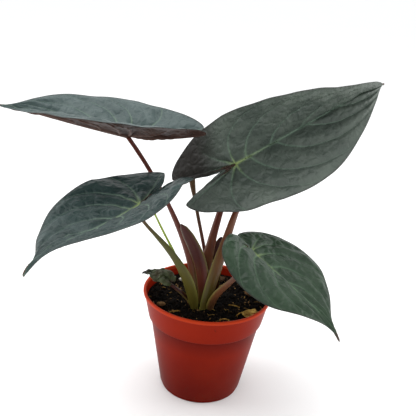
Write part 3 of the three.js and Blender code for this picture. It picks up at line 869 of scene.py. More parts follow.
@dataclass
class Blade:
    """One leaf blade: an upper face quilted between its veins, and ribs below."""

    name: str
    shape: LeafShape
    top: Union[LeafTop, WitheredSkin]
    under: Union[LeafUnder, WitheredSkin]
    seed: float
    veins: tuple[float, ...] = (0.13, 0.245, 0.37, 0.49, 0.595, 0.695, 0.785, 0.862, 0.925)
    right_shift: float = 0.018
    row_gap: float = 0.0070
    columns: int = 42
    edge: float = 0.42
    midrib: float = 2.5
    quilt: float = 1.75
    groove: float = 0.55
    pucker: float = 1.10
    wave: float = 1.1
    crumple: float = 0.0

    def vein_lines(self, side: Side) -> Array:
        """Returns the stations at which one half's main veins leave the midrib."""
        return np.array(self.veins) + (self.right_shift if side is Side.RIGHT else 0.0)

    def lines(self, side: Side) -> Array:
        """Returns the grid's lines from sinus to tip, close together at each vein."""
        even = np.arange(0.0, 1.0, self.row_gap)
        veins = self.vein_lines(side)
        near = (veins[:, None] + np.array([-0.0055, -0.0026, 0.0, 0.0026, 0.0055])).ravel()
        clear = [w for w in even if np.abs(veins - w).min() > 0.0075]
        return np.unique(np.concatenate([[0.0], clear, near, [1.0]]))

    def half(self, side: Side) -> Skin:
        """Makes the flat sheet of one half, before it is folded.

        Returns:
            A skin whose fields hold the flat place, the vein mask and the relief.
        """
        line = self.lines(side)
        out = np.linspace(0, 1, self.columns) ** 1.12
        w, s = np.meshgrid(line, out, indexing="ij")
        sweep = 0.115 * smooth((w - 0.26) / 0.26) * np.clip((1 - w) / 0.3, 0, 1)
        station = w + sweep * s**2
        along, across = self.shape.flat(side, station, s)
        pace = np.hypot(np.gradient(along, line, axis=0), np.gradient(across, line, axis=0))
        veins = self.vein_lines(side)
        distance = (np.abs(w[..., None] - veins) * pace[..., None]).min(-1)
        width = mix(1.15, 0.42, s)
        from_midrib = np.where(along >= 0, across, np.hypot(along, across) + 4)
        midrib_width = mix(1.5, 0.55, np.clip(along / self.shape.length, 0, 1))
        vein = np.exp(-((distance / width) ** 2)) * (1 - 0.55 * s)
        spine = np.exp(-((from_midrib / midrib_width) ** 2))
        mask = np.maximum(vein, spine)
        inland = smooth(s / 0.16) * smooth((1 - s) / 0.16)
        reach = np.clip(pace * 0.045, 2.2, 7.0)
        swell = self.quilt * (1 - np.exp(-((distance / reach) ** 2))) * inland
        flat_place = np.stack([along, across * side.value, np.zeros_like(along)], -1).reshape(-1, 3)
        pucker = roughness_field(flat_place, 9.0, self.seed, 2).reshape(w.shape)
        wave = roughness_field(flat_place, 24.0, self.seed + 3, 1).reshape(w.shape)
        height = swell - self.groove * mask * inland + self.pucker * pucker * inland
        height = height + self.wave * wave * smooth((s - 0.55) / 0.45) * smooth((1 - w) / 0.12)
        rib = self.midrib * spine * mix(1.0, 0.16, np.clip(along / self.shape.length, 0, 1) ** 0.8)
        thickness = self.edge + np.maximum(rib, 0.85 * vein * smooth((1 - s) / 0.5))
        thickness = thickness * mix(1.0, 0.55, smooth((w - 0.9) / 0.1))
        from_node = np.hypot(along, across)
        fields = {
            "vein": mask,
            "near_node": np.exp(-from_node / mix(6.0, 19.0, spine)),
            "rim": smooth((s - 0.965) / 0.035),
            # Marks the left basal lobe, where painted shade may go.
            "left_lobe": smooth(-along / self.shape.lobe / 0.6) * (side is Side.LEFT),
            "along": np.clip((along + self.shape.lobe) / (self.shape.length + self.shape.lobe), 0, 1),
            "height": height,
            "thickness": thickness,
        }
        points = self.shape.shaped(side, along, across).reshape(-1, 3)
        keys = flat_place[:, :2]
        faces = grid_faces(len(line), self.columns)
        if side is Side.RIGHT:
            faces = [tuple(reversed(f)) for f in faces]
        skin = Skin(points, faces, {name: values.ravel() for name, values in fields.items()})
        skin.uv = keys / 100.0 + 0.5
        return skin

    def sheet(self) -> Skin:
        """Joins both halves along the midrib and raises their relief."""
        left, right = self.half(Side.LEFT), self.half(Side.RIGHT)
        offset = len(left.points)
        joined = Skin(
            np.vstack([left.points, right.points]),
            left.faces + [tuple(i + offset for i in f) for f in right.faces],
            {name: np.concatenate([left.fields[name], right.fields[name]]) for name in left.fields},
            np.vstack([left.uv, right.uv]),
        )
        sheet = joined.merged((joined.uv - 0.5) * 100)
        if sheet.normals() @ -self.shape.under() @ np.ones(len(sheet.points)) < 0:
            sheet.faces = [tuple(reversed(f)) for f in sheet.faces]
        height = sheet.fields.pop("height")
        sheet.points = sheet.points + sheet.normals() * height[:, None]
        if self.crumple:
            for axis in range(3):
                push = roughness_field(sheet.points, 5.0, self.seed + axis, 3)
                sheet.points[:, axis] += self.crumple * push
        return sheet

    def solid(self) -> Skin:
        """Gives the sheet its thickness, with the upper face first."""
        sheet = self.sheet()
        thickness = sheet.fields.pop("thickness")
        count = len(sheet.points)
        below = sheet.points - sheet.normals() * thickness[:, None]
        edges: dict[tuple[int, int], int] = {}
        for face in sheet.faces:
            for a, b in zip(face, face[1:] + face[:1]):
                edges[(a, b)] = edges.get((a, b), 0) + 1
        rim = [(b, a, a + count, b + count) for a, b in edges if (b, a) not in edges]
        lower = [tuple(i + count for i in reversed(face)) for face in sheet.faces]
        fields = {name: np.concatenate([values, values]) for name, values in sheet.fields.items()}
        solid = Skin(np.vstack([sheet.points, below]), sheet.faces + lower + rim, fields)
        solid.uv = np.vstack([sheet.uv, sheet.uv])
        lower_finish = int(self.under != self.top)
        solid.material_of_face = [0] * len(sheet.faces) + [lower_finish] * len(lower) + [0] * len(rim)
        return solid

    def build(self, slot: Slot = Slot.BLADE) -> bpy.types.Object:
        """Makes the blade and hands it to the frame."""
        materials = [finish.material() for finish in dict.fromkeys((self.top, self.under))]
        return carry(self.solid().piece(f"leaf_{self.name}", materials), slot, self.name)


# ---- Stalks, sheaths and shoots ----


@dataclass(frozen=True)
class Route:
    """A cubic curve from a foot, past two handles, to a head, in millimetres."""

    foot: Triple
    handles: tuple[Triple, Triple]
    head: Triple

    def at(self, share: Array) -> Array:
        """Returns points along the curve."""
        t = share[:, None]
        a, b, c, d = (np.array(p, float) for p in (self.foot, *self.handles, self.head))
        return a * (1 - t) ** 3 + 3 * b * t * (1 - t) ** 2 + 3 * c * t**2 * (1 - t) + d * t**3

    def tangents(self, share: Array) -> Array:
        """Returns the curve's direction at each place."""
        t = share[:, None]
        a, b, c, d = (np.array(p, float) for p in (self.foot, *self.handles, self.head))
        return unit((b - a) * (1 - t) ** 2 + 2 * (c - b) * t * (1 - t) + (d - c) * t**2)

    def lean(self) -> Array:
        """Returns the level direction in which the curve leans outwards."""
        away = np.array(self.head, float) - np.array(self.foot, float)
        away[2] = 0
        return unit(away)


@dataclass
class Stem:
    """A stem along a route: a crescent where it sheathes its neighbours, round above."""

    name: str
    route: Route
    skin: StalkSkin
    slot: Slot
    stations: tuple[tuple[float, float, float], ...]
    open_until: float = 0.0
    open_depth: float = 1.45
    seed: float = 0.0
    steps: int = 96
    sides: int = 32
    cut: Union[tuple[Array, Array], None] = None
    wing_spread: float = 0.5
    flare: float = 0.38
    turn: float = 0.0

    def half_sizes(self, share: Array) -> tuple[Array, Array]:
        """Returns half the breadth and half the depth along the stem."""
        places, breadths, depths = np.array(self.stations).T
        return np.interp(share, places, breadths), np.interp(share, places, depths)

    def rings(self) -> tuple[Array, Array, Array, Array]:
        """Returns the rings' points, the share along, the angle round, and the openness."""
        share = np.linspace(0, 1, self.steps) ** 0.95
        angle = np.arange(self.sides) / self.sides * 2 * math.pi
        centre = self.route.at(share)
        tangent = self.route.tangents(share)
        level = unit(np.cross(tangent, self.route.lean()))
        turn = math.radians(self.turn)
        broad = level * math.cos(turn) + np.cross(tangent, level) * math.sin(turn)
        deep = np.cross(broad, tangent)
        breadth, depth = self.half_sizes(share)
        opened = 1 - smooth((share - self.open_until * 0.45) / max(self.open_until * 0.55, 1e-6))
        opened = opened if self.open_until else np.zeros_like(share)
        breadth = breadth * (1 + self.flare * opened * smooth(share / 0.06))
        across = np.cos(angle)[None, :] * breadth[:, None]
        inward = np.sin(angle)[None, :]
        hollow = np.where(inward > 0, 1 - self.open_depth * opened[:, None], 1.0)
        inward = inward * hollow * depth[:, None]
        curl = opened[:, None] * self.wing_spread * depth[:, None] * np.abs(np.cos(angle))[None, :] ** 3
        offset = -(inward + curl)
        points = centre[:, None, :] + broad[:, None, :] * across[..., None] + deep[:, None, :] * offset[..., None]
        return points, share, angle, opened

    def build(self, *nodes: str) -> bpy.types.Object:
        """Makes the stem and hands it to the frame."""
        points, share, angle, opened = self.rings()
        if self.cut is not None:
            origin, normal = self.cut
            direction = self.route.tangents(np.array([1.0]))[0]
            shift = (origin - points[-1]) @ normal / (direction @ normal)
            weight = smooth((share - 0.88) / 0.12)
            points = points + weight[:, None, None] * shift[None, :, None] * direction
        wobble = roughness_field(points.reshape(-1, 3), 7.0, self.seed, 2).reshape(points.shape[:2])
        middle = points.mean(1, keepdims=True)
        points = points + unit(points - middle) * (0.10 * wobble)[..., None]
        along = np.repeat(share[:, None], self.sides, 1)
        wing = np.abs(np.cos(angle))[None, :] ** 10 * opened[:, None]
        length = float(np.linalg.norm(np.diff(self.route.at(share), axis=0), axis=1).sum())
        turns = np.abs(angle / math.pi - 1)[None, :] + 0 * along
        uv = np.stack([turns, along * length / 30.0], -1)
        skin = loft(points, {"along": along, "wing": wing}, uv)
        return carry(skin.piece(self.name, [self.skin.material()]), self.slot, *nodes)


# ---- The plant's values ----

# Every place on the plant is measured from the middle of the rhizome's flat top.
BLADES: dict[str, LeafShape] = {
    "upper_left": LeafShape(
        length=113, half_width=55, lobe=67, sinus=10, sinus_width=0.9,
        fold=(24.5, 33.5), cup=(19, 5), lobe_fold=(33, 35), fold_fade=0.4,
        bend=-4, tip_bend=11.5, lobe_droop=-17.5, twist=3, tip_twist=-30,
        heading=183.5, pitch=9, roll=8.5, node=(-74.5, 13.5, 158),
    ),
    "lower_left": LeafShape(
        length=126, half_width=56, lobe=50, lobes=(0.86, 1), sinus=18, sinus_width=0.3,
        fold=(19, 17), cup=(-1, -14), lobe_fold=(6, 12), fold_fade=1.4,
        bend=-13, tip_bend=54, lobe_droop=-15, twist=-6, tip_twist=33,
        heading=237.5, pitch=-9, roll=15, node=(-56.5, -36.5, 115),
    ),
    "upper_right": LeafShape(
        length=179.5, half_width=63.5, lobe=67, sinus=14, sinus_width=0.8, tip_width=1,
        fold=(42, 27), cup=(-26, -14), lobe_fold=(53, 20), fold_fade=-0.3,
        bend=-4, tip_bend=51, lobe_droop=-18, twist=31, tip_twist=6,
        heading=24.5, pitch=27, roll=53, node=(21, 48.5, 130),
    ),
    "lower_right": LeafShape(
        length=106, half_width=54, lobe=23, lobes=(1, 0.62), sinus=12, sinus_width=0.1, tip_width=0.7,
        fold=(-4.5, 43), cup=(-1, 53), lobe_fold=(-0.5, 56), fold_fade=0.8,
        bend=6, tip_bend=31, lobe_droop=3, twist=10.5, tip_twist=-34,
        heading=-39, pitch=-19, roll=-0.5, node=(39, -21.5, 75),
    ),
    "back": LeafShape(
        length=116, half_width=41, lobe=38, sinus=13, sinus_width=0.6,
        fold=(18, 16), cup=(22, 20), lobe_fold=(12, 14), fold_fade=0.5,
        bend=22, tip_bend=30, lobe_droop=12, twist=6, tip_twist=0,
        heading=76, pitch=12, roll=4, node=(59.5, 76.5, 121),
    ),
}

WITHERED = LeafShape(
    length=20, half_width=11, lobe=12, sinus=4, sinus_width=0.6, tip_width=1,
    fold=(50, 35), cup=(95, 70), lobe_fold=(30, 55), fold_fade=0.2,
    bend=23, tip_bend=19, lobe_droop=35, twist=27, tip_twist=20,
    heading=176, pitch=14, roll=-14, node=(-37.5, 5.5, 30),
)

MAROON: Colour = (0.095, 0.0190, 0.0110)
WINE: Colour = (0.052, 0.0110, 0.0100)
MAUVE: Colour = (0.110, 0.0520, 0.0460)
RUST: Colour = (0.130, 0.0460, 0.0200)
UMBER: Colour = (0.068, 0.0330, 0.0130)
OLIVE: Colour = (0.066, 0.0560, 0.0090)
MOSS: Colour = (0.060, 0.0600, 0.0110)
LIME: Colour = (0.270, 0.3600, 0.0500)


@dataclass(frozen=True)
class StalkPlan:
    """How a leaf stalk stands and bends, how thick it is, and its three colours.

    foot is in shares of the rhizome's radius, and turn turns the sheath about the stalk, in degrees.
    """

    foot: Pair
    handles: tuple[Triple, Triple]
    breadth: Triple
    depth: Triple
    sheath: float
    colours: tuple[Colour, Colour, Colour]
    shift: float = 0.0
    turn: float = 0.0


STALKS: dict[str, StalkPlan] = {
    "upper_left": StalkPlan(
        (-0.475, 0.275), ((-0.5, 13.5, 39), (-43.5, 26.5, 111)),
        (3.0, 4.5, 1.9), (2.3, 2.3, 1.9), 0.3, (OLIVE, MAROON, MAROON), -0.02, 55,
    ),
    "lower_left": StalkPlan(
        (-0.483, -0.458), ((-13.5, -14.5, 73), (-65.5, -25.5, 90)),
        (3.0, 4.2, 1.5), (2.2, 2.2, 1.5), 0.25, (OLIVE, MOSS, UMBER), -0.14, 35,
    ),
    "upper_right": StalkPlan(
        (0.042, 0.592), ((-1.5, 16.5, 54), (10.5, 35.5, 85)),
        (3.0, 4.6, 3.0), (2.4, 2.5, 2.6), 0.3, (MAROON, RUST, MAROON), 0.10,
    ),
    "lower_right": StalkPlan(
        (0.775, -0.35), ((2.5, -8.5, 29), (45.5, -15.5, 51)),
        (2.8, 3.8, 1.9), (2.1, 2.2, 1.9), 0.4, (UMBER, RUST, MAUVE), 0.0, -20,
    ),
    "back": StalkPlan(
        (0.008, -0.708), ((23.5, 5, 88), (23.5, 46.5, 118)),
        (2.9, 4.4, 1.7), (2.1, 2.1, 1.7), 0.25, (OLIVE, RUST, MAROON), 0.02, -115,
    ),
}

WITHERED_STALK = StalkPlan(
    (-0.817, -0.058), ((-7.5, 1.5, 14), (-25.5, 2.5, 20)),
    (1.9, 2.1, 1.6), (1.8, 1.9, 1.2), 0.5, (MAROON, WINE, WINE),
)


@dataclass(frozen=True)
class PointedPlan:
    """A rolled leaf or a sheath that ends in a point of its own."""

    foot: Pair
    handles: tuple[Triple, Triple]
    tip: Triple
    stations: tuple[Triple, ...]
    slot: Slot
    colours: tuple[Colour, Colour, Colour]
    open_until: float = 0.0
    turn: float = 0.0


POINTED: dict[str, PointedPlan] = {
    "young_spear": PointedPlan(
        (0.642, 0.542), ((5.5, 28.5, 50), (-20.5, 46.5, 91)), (-21.5, 58.5, 138.5),
        ((0, 1.7, 1.7), (0.55, 1.7, 1.6), (0.68, 1.7, 1.6), (0.82, 3.4, 2.8), (0.93, 2.6, 2.2), (1, 0.3, 0.3)),
        Slot.SHEATH, (MAROON, MAROON, UMBER),
    ),
    "green_shoot": PointedPlan(
        (-0.308, -0.158), ((-11.5, -2.5, 38), (-37.5, -2.5, 71)), (-51.5, -1.5, 103.5),
        ((0, 1.2, 1.2), (0.6, 1.1, 1.1), (0.9, 0.9, 0.9), (1, 0.25, 0.25)),
        Slot.SHOOT, (MOSS, LIME, LIME),
    ),
    "inner_sheath": PointedPlan(
        (-0.008, 0.075), ((2.5, 1.5, 37), (-3.5, 4.5, 53)), (-24, 6.5, 83),
        ((0, 2.6, 2.2), (0.3, 4.6, 1.7), (0.7, 5.0, 1.4), (0.88, 4.3, 1.2), (0.96, 2.8, 0.9), (1, 0.4, 0.3)),
        Slot.SHEATH, (OLIVE, MAROON, WINE), 1.0, 80,
    ),
    "outer_sheath": PointedPlan(
        (0.842, 0.125), ((9.5, 9.5, 23), (10.5, 20.5, 44)), (13.5, 27.5, 65),
        ((0, 2.6, 1.5), (0.35, 3.8, 1.3), (0.75, 4.2, 1.2), (0.92, 3.0, 0.9), (0.98, 1.3, 0.5), (1, 0.3, 0.3)),
        Slot.SHEATH, (UMBER, WINE, WINE), 1.0,
    ),
}


@dataclass
class Foliage:
    """Every blade, stalk, sheath and shoot, standing on the rhizome."""

    crown: Array
    crown_radius: float
    gap: float = 0.3
    rib_depth: float = 0.9

    def placed(self, shape: LeafShape) -> LeafShape:
        """Returns a leaf's shape with its node moved to where the rhizome stands."""
        return replace(shape, node=tuple(self.crown + shape.node))

    def route(self, foot: Pair, handles: tuple[Triple, Triple], head: Array) -> Route:
        """Returns the curve of a stem whose handles are measured from the rhizome's top."""
        start = self.crown + [foot[0] * self.crown_radius, foot[1] * self.crown_radius, self.gap]
        first, second = (tuple(self.crown + handle) for handle in handles)
        return Route(tuple(start), (first, second), tuple(head))

    def blades(self) -> None:
        """Makes the five sound blades."""
        tones = {
            "upper_left": LeafTop("leaf_top_slate", (0.032, 0.056, 0.055), (0.062, 0.092, 0.090)),
            "lower_left": LeafTop("leaf_top_bluegreen", (0.008, 0.023, 0.022), (0.028, 0.050, 0.048)),
            # The largest blade gets painted shade over its left basal lobe.
            "upper_right": LeafTop(
                "leaf_top_greygreen", (0.056, 0.071, 0.060), (0.088, 0.108, 0.090), painted_lobe_shade=1.0,
            ),
            "lower_right": LeafTop(
                "leaf_top_green", (0.008, 0.025, 0.010), (0.018, 0.042, 0.019), (0.060, 0.110, 0.062),
            ),
            "back": LeafTop("leaf_top_bottle", (0.010, 0.026, 0.018), (0.026, 0.048, 0.034)),
        }
        waves = {"upper_left": 2.0, "lower_left": 1.2, "upper_right": 2.2, "lower_right": 2.0, "back": 1.2}
        for order, (name, shape) in enumerate(BLADES.items()):
            under = LeafUnder(f"leaf_under_{name}")
            Blade(f"blade_{name}", self.placed(shape), tones[name], under, order + 1.5, wave=waves[name]).build()

    def withered(self) -> None:
        """Makes the dried leaf that hangs over the rim, and its stalk."""
        dry = WitheredSkin("withered_skin")
        blade = Blade(
            "withered_blade", self.placed(WITHERED), dry, dry, seed=9.5,
            veins=(0.25, 0.5, 0.66, 0.8), row_gap=0.012, columns=26, edge=0.45, midrib=0.9,
            quilt=0.6, pucker=1.3, wave=1.8, crumple=2.0,
        )
        blade.build(Slot.WITHERED)
        self.stalk("withered", WITHERED_STALK, WITHERED, Slot.WITHERED, "withered_petiole")

    def stalk(self, name: str, plan: StalkPlan, shape: LeafShape, slot: Slot, node: str) -> None:
        """Makes one leaf stalk.

        Args:
            name: the leaf's name.
            plan: the stalk's values.
            shape: the blade that it carries.
            slot: the record's slot.
            node: the frame's node that it stands for.
        """
        leaf = self.placed(shape)
        under = leaf.under()
        arrival = unit(np.array(shape.node, float) - np.array(plan.handles[1], float))
        normal = unit(arrival - under)
        clearance = plan.breadth[2] * math.tan(math.acos(float(normal @ arrival)))
        head = np.array(leaf.node) + under * (self.rib_depth + clearance)
        share = np.linspace(0, 1, 25)
        swell = smooth(2 * share / plan.sheath)
        taper = smooth(1.6 * (share - plan.sheath) / (1 - plan.sheath))
        sizes = [
            np.where(share < plan.sheath, mix(a, b, swell), mix(b, c, taper))
            for a, b, c in (plan.breadth, plan.depth)
        ]
        stations = tuple(zip(share.tolist(), sizes[0].tolist(), sizes[1].tolist()))
        skin = StalkSkin(f"stalk_skin_{name}", *plan.colours, shift=plan.shift)
        stem = Stem(
            f"stalk_{name}", self.route(plan.foot, plan.handles, head), skin, slot, stations,
            open_until=plan.sheath * 1.5, seed=10 * plan.foot[0], cut=(head, normal), turn=plan.turn,
        )
        stem.build(node)

    def stalks(self) -> None:
        """Makes the five stalks."""
        for name, plan in STALKS.items():
            self.stalk(name, plan, BLADES[name], Slot.STALK, f"petiole_{name}")

    def pointed(self) -> None:
        """Makes the rolled leaves and the free sheaths."""
        for name, plan in POINTED.items():
            route = self.route(plan.foot, plan.handles, self.crown + plan.tip)
            skin = StalkSkin(f"{name}_skin", *plan.colours, shift=0.05)
            stem = Stem(
                name + "_piece", route, skin, plan.slot, plan.stations,
                open_until=plan.open_until * 2.2, open_depth=1.7, seed=10 * plan.foot[0], turn=plan.turn,
            )
            stem.build(name)

    def build(self) -> None:
        """Makes all of it."""
        self.blades()
        self.stalks()
        self.withered()
        self.pointed()


# ---- Pot ----


@dataclass
class Pot:
    """A thin moulded nursery pot with a banded collar, a rolled lip and drained feet."""

    height: float
    rim_radius: float
    wall: float = 1.4
    lip_height: float = 3.0
    lip_proud: float = 1.3
    collar_height: float = 26.0
    collar_taper: float = 6.0
    step: float = 2.0
    base_radius: float = 38.5
    foot_height: float = 4.0
    foot_inset: float = 0.7
    foot_width: float = 5.0
    channel_rise: float = 3.0
    disc_radius: float = 12.0
    drain_holes: int = 8
    drain_radius: float = 2.8
    wall_heights: tuple[float, ...] = (0, 74, 74.5, 97, 100)
    mid_wall_radii: tuple[float, ...] = (36.5, 50.4, 52.4, 57.2, 57.4)
    segments: int = 168

    @property
    def collar_foot_radius(self) -> float:
        """The radius at the collar's foot."""
        return self.rim_radius - self.collar_taper

    def body_radius(self, height: float) -> float:
        """Returns the outside radius of the tapered body at a height."""
        top = self.height - self.collar_height
        return float(mix(self.base_radius, self.collar_foot_radius - self.step, height / top))

    def profile(self) -> Array:
        """Returns the pot's section from the middle of the underside to the middle of the floor."""
        collar_foot = self.height - self.collar_height
        collar_top = self.rim_radius - self.lip_proud
        body_top = self.collar_foot_radius - self.step
        lip_foot = self.height - self.lip_height
        floor = self.channel_rise + self.wall
        foot_inner = self.base_radius - self.foot_inset - self.foot_width
        slope = self.channel_rise / 2
        corners = [
            (0, 0, 0),
            (self.disc_radius, 0, 0.5),
            (self.disc_radius + slope, self.channel_rise, 0.8),
            (foot_inner - slope, self.channel_rise, 0.8),
            (foot_inner, 0, 0.5),
            (self.base_radius - self.foot_inset, 0, 0.8),
            (self.base_radius - self.foot_inset, self.foot_height - self.foot_inset, 0.4),
            (self.body_radius(self.foot_height), self.foot_height, 0.4),
            (self.body_radius(self.foot_height + 12), self.foot_height + 12, 0),
            (self.body_radius(34), 34, 0),
            (self.body_radius(56), 56, 0),
            (body_top, collar_foot, 0.5),
            (self.collar_foot_radius, collar_foot + self.step / 4, 0.9),
            (mix(self.collar_foot_radius, collar_top, 0.4), mix(collar_foot, lip_foot, 0.4), 0),
            (collar_top, lip_foot, 0.5),
            (self.rim_radius, lip_foot + self.lip_proud / 3, 0.7),
            (self.rim_radius, self.height, 1.1),
            (collar_top - self.wall, self.height, 0.9),
            (collar_top - self.wall, lip_foot, 0.8),
            (self.collar_foot_radius - self.wall, collar_foot + self.wall, 0.8),
            (body_top - self.wall, collar_foot, 0.6),
            (self.body_radius(floor) - self.wall, floor, 1.2),
            (0, floor, 0),
        ]
        return rounded([(r, z) for r, z, _ in corners], [cut for _, _, cut in corners])

    def drains(self) -> bpy.types.Object:
        """Makes the cutters for the drain holes, as one object."""
        foot_inner = self.base_radius - self.foot_inset - self.foot_width
        circle = (self.disc_radius + foot_inner) / 2
        points: list[Array] = []
        faces: list[Face] = []
        profile = np.array([(0, -3), (self.drain_radius, -3), (self.drain_radius, 12), (0, 12)], float)
        for hole in range(self.drain_holes):
            angle = hole / self.drain_holes * 2 * math.pi
            cutter = revolved(profile, 28)
            start = sum(len(p) for p in points)
            points.append(cutter.points + [circle * math.cos(angle), circle * math.sin(angle), 0])
            faces += [tuple(i + start for i in face) for face in cutter.faces]
        return Skin(np.vstack(points), faces).piece("drain_cutters", [])

    def build(self) -> None:
        """Moulds the pot, drills it and hands it to the frame."""
        skin = revolved(self.profile(), self.segments)
        x, y, z = skin.points.T
        radius = np.hypot(x, y)
        angle = np.arctan2(y, x)
        slack = smooth(z / 30) * (1 - 0.7 * smooth((z - self.height + self.collar_height) / self.collar_height))
        give = 1 + 0.0035 * slack * np.sin(3 * angle + 0.7) + 0.002 * slack * np.sin(5 * angle + 2.1)
        skin.points[:, 0] *= give
        skin.points[:, 1] *= give
        mid_wall = np.interp(z, self.wall_heights, self.mid_wall_radii)
        skin.fields = {
            "lip": smooth((z - (self.height - self.lip_height - 0.4)) / 1.0),
            "collar": smooth((z - (self.height - self.collar_height - 0.5)) / 1.0),
            # Painted shade: a thin dark line just under the collar's step.
            "groove": np.exp(-(((z - self.height + self.collar_height + 0.2) / 1.1) ** 2)),
            # The inside wall: darkened by painted shade, and dusted with soil.
            "inside": (radius < mid_wall).astype(float) * smooth((z - 2) / 3),
            # Towards the foot: where painted shade darkens the body and where soil dust specks lie.
            "low": 1 - smooth((z - 8) / 62),
        }
        shell = skin.piece("pot_shell", [PotPlastic().material()], crease=50)
        cutters = self.drains()
        cut = shell.modifiers.new("drains", "BOOLEAN")
        cut.object = cutters
        cut.operation = "DIFFERENCE"
        cut.solver = "EXACT"
        drilled = settled(shell)
        bpy.data.objects.remove(cutters)
        carry(drilled, Slot.POT, "pot")


def settled(thing: bpy.types.Object) -> bpy.types.Object:
    """Turns an object's modifiers into plain mesh and removes them.

    Args:
        thing: the object.

    Returns:
        The same object, with the evaluated mesh.
    """
    graph = bpy.context.evaluated_depsgraph_get()
    mesh = bpy.data.meshes.new_from_object(thing.evaluated_get(graph))
    thing.modifiers.clear()
    thing.data = mesh
    return thing


# ---- Growing things over a surface ----


class Grower:
    """A Geometry Nodes tree that is filled by short calls."""

    def __init__(self, name: str) -> None:
        """Starts a tree with a geometry in and a geometry out."""
        self.tree = bpy.data.node_groups.new(name, "GeometryNodeTree")
        self.tree.interface.new_socket("Geometry", in_out="INPUT", socket_type="NodeSocketGeometry")
        self.tree.interface.new_socket("Geometry", in_out="OUTPUT", socket_type="NodeSocketGeometry")
        self.inlet = self.tree.nodes.new("NodeGroupInput")
        self.outlet = self.tree.nodes.new("NodeGroupOutput")
        self.identifiers: dict[str, str] = {}

    def input(self, name: str, kind: str, value: object) -> bpy.types.NodeSocket:
        """Adds a named input with a starting value and returns its socket inside the tree."""
        item = self.tree.interface.new_socket(name, in_out="INPUT", socket_type=f"NodeSocket{kind}")
        item.default_value = value
        self.identifiers[name] = item.identifier
        return self.inlet.outputs[name]

    def node(self, kind: str, settings: dict[str, object], sockets: dict[Union[int, str], object]) -> bpy.types.Node:
        """Makes a node; settings come first, then a value or an output for each input."""
        made = self.tree.nodes.new(f"GeometryNode{kind}" if not kind.startswith("Function") else kind)
        for name, setting in settings.items():
            setattr(made, name, setting)
        for key, value in sockets.items():
            if isinstance(value, bpy.types.NodeSocket):
                self.tree.links.new(value, made.inputs[key])
            else:
                made.inputs[key].default_value = value
        return made

    def random(self, low: object, high: object, seed: int, kind: str = "FLOAT_VECTOR") -> bpy.types.NodeSocket:
        """Returns a random value for each point, between low and high."""
        first = {"FLOAT_VECTOR": 0, "FLOAT": 2}[kind]
        made = self.node("FunctionNodeRandomValue", {"data_type": kind}, {first: low, first + 1: high, "Seed": seed})
        return made.outputs[0 if kind == "FLOAT_VECTOR" else 1]

    def finish(self, geometry: bpy.types.NodeSocket, material: bpy.types.NodeSocket) -> None:
        """Ends the tree: real geometry, shaded smooth, in its material."""
        real = self.node("RealizeInstances", {}, {0: geometry}).outputs[0]
        shaded = self.node("SetShadeSmooth", {}, {0: real}).outputs[0]
        painted = self.node("SetMaterial", {}, {0: shaded, "Material": material}).outputs[0]
        self.tree.links.new(painted, self.outlet.inputs[0])

    def grow(self, ground: bpy.types.Object, name: str, values: dict[str, object]) -> bpy.types.Object:
        """Runs the tree over a surface.

        Args:
            ground: the object whose surface is grown over; it isn't changed.
            name: the new object's name.
            values: the tree's named inputs.

        Returns:
            A new object with the plain mesh.
        """
        thing = bpy.data.objects.new(name, ground.data.copy())
        bpy.context.scene.collection.objects.link(thing)
        modifier = thing.modifiers.new("grow", "NODES")
        modifier.node_group = self.tree
        for title, value in values.items():
            modifier[self.identifiers[title]] = value
        return settled(thing)


def crumb_tree() -> Grower:
    """Builds the tree that strews uneven crumbs over the points where "bed" is 1."""
    grower = Grower("strewn_crumbs")
    density = grower.input("Density", "Float", 100000.0)
    smallest = grower.input("Smallest", "Vector", (0.0006, 0.0006, 0.0005))
    largest = grower.input("Largest", "Vector", (0.0020, 0.0016, 0.0012))
    facets = grower.input("Facets", "Int", 1)
    uneven = grower.input("Unevenness", "Float", 0.0006)
    seed = grower.input("Seed", "Int", 1)
    material = grower.input("Material", "Material", None)
    bed = grower.node("InputNamedAttribute", {"data_type": "FLOAT"}, {"Name": "bed"}).outputs[0]
    thick = grower.tree.nodes.new("ShaderNodeMath")
    thick.operation = "MULTIPLY"
    grower.tree.links.new(bed, thick.inputs[0])
    grower.tree.links.new(density, thick.inputs[1])
    spread = grower.node(
        "DistributePointsOnFaces", {"distribute_method": "RANDOM"},
        {"Mesh": grower.inlet.outputs[0], "Density": thick.outputs[0], "Seed": seed},
    )
    lump = grower.node("MeshIcoSphere", {}, {"Radius": 1.0, "Subdivisions": facets}).outputs[0]
    turn = grower.random((0.0, 0.0, 0.0), (6.28, 6.28, 6.28), 11)
    size = grower.random((0.0, 0.0, 0.0), (1.0, 1.0, 1.0), 23)
    grower.tree.links.new(smallest, size.node.inputs[0])
    grower.tree.links.new(largest, size.node.inputs[1])
    placed = grower.node(
        "InstanceOnPoints", {},
        {"Points": spread.outputs[0], "Instance": lump, "Rotation": turn, "Scale": size},
    )
    real = grower.node("RealizeInstances", {}, {0: placed.outputs[0]}).outputs[0]
    swirl = grower.tree.nodes.new("ShaderNodeTexNoise")
    swirl.inputs["Scale"].default_value = 900.0
    centred = grower.tree.nodes.new("ShaderNodeVectorMath")
    centred.operation = "SUBTRACT"
    grower.tree.links.new(swirl.outputs["Color"], centred.inputs[0])
    centred.inputs[1].default_value = (0.5, 0.5, 0.5)
    scaled = grower.tree.nodes.new("ShaderNodeVectorMath")
    scaled.operation = "SCALE"
    grower.tree.links.new(centred.outputs[0], scaled.inputs[0])
    grower.tree.links.new(uneven, scaled.inputs["Scale"])
    rough = grower.node("SetPosition", {}, {"Geometry": real, "Offset": scaled.outputs[0]}).outputs[0]
    grower.finish(rough, material)
    return grower


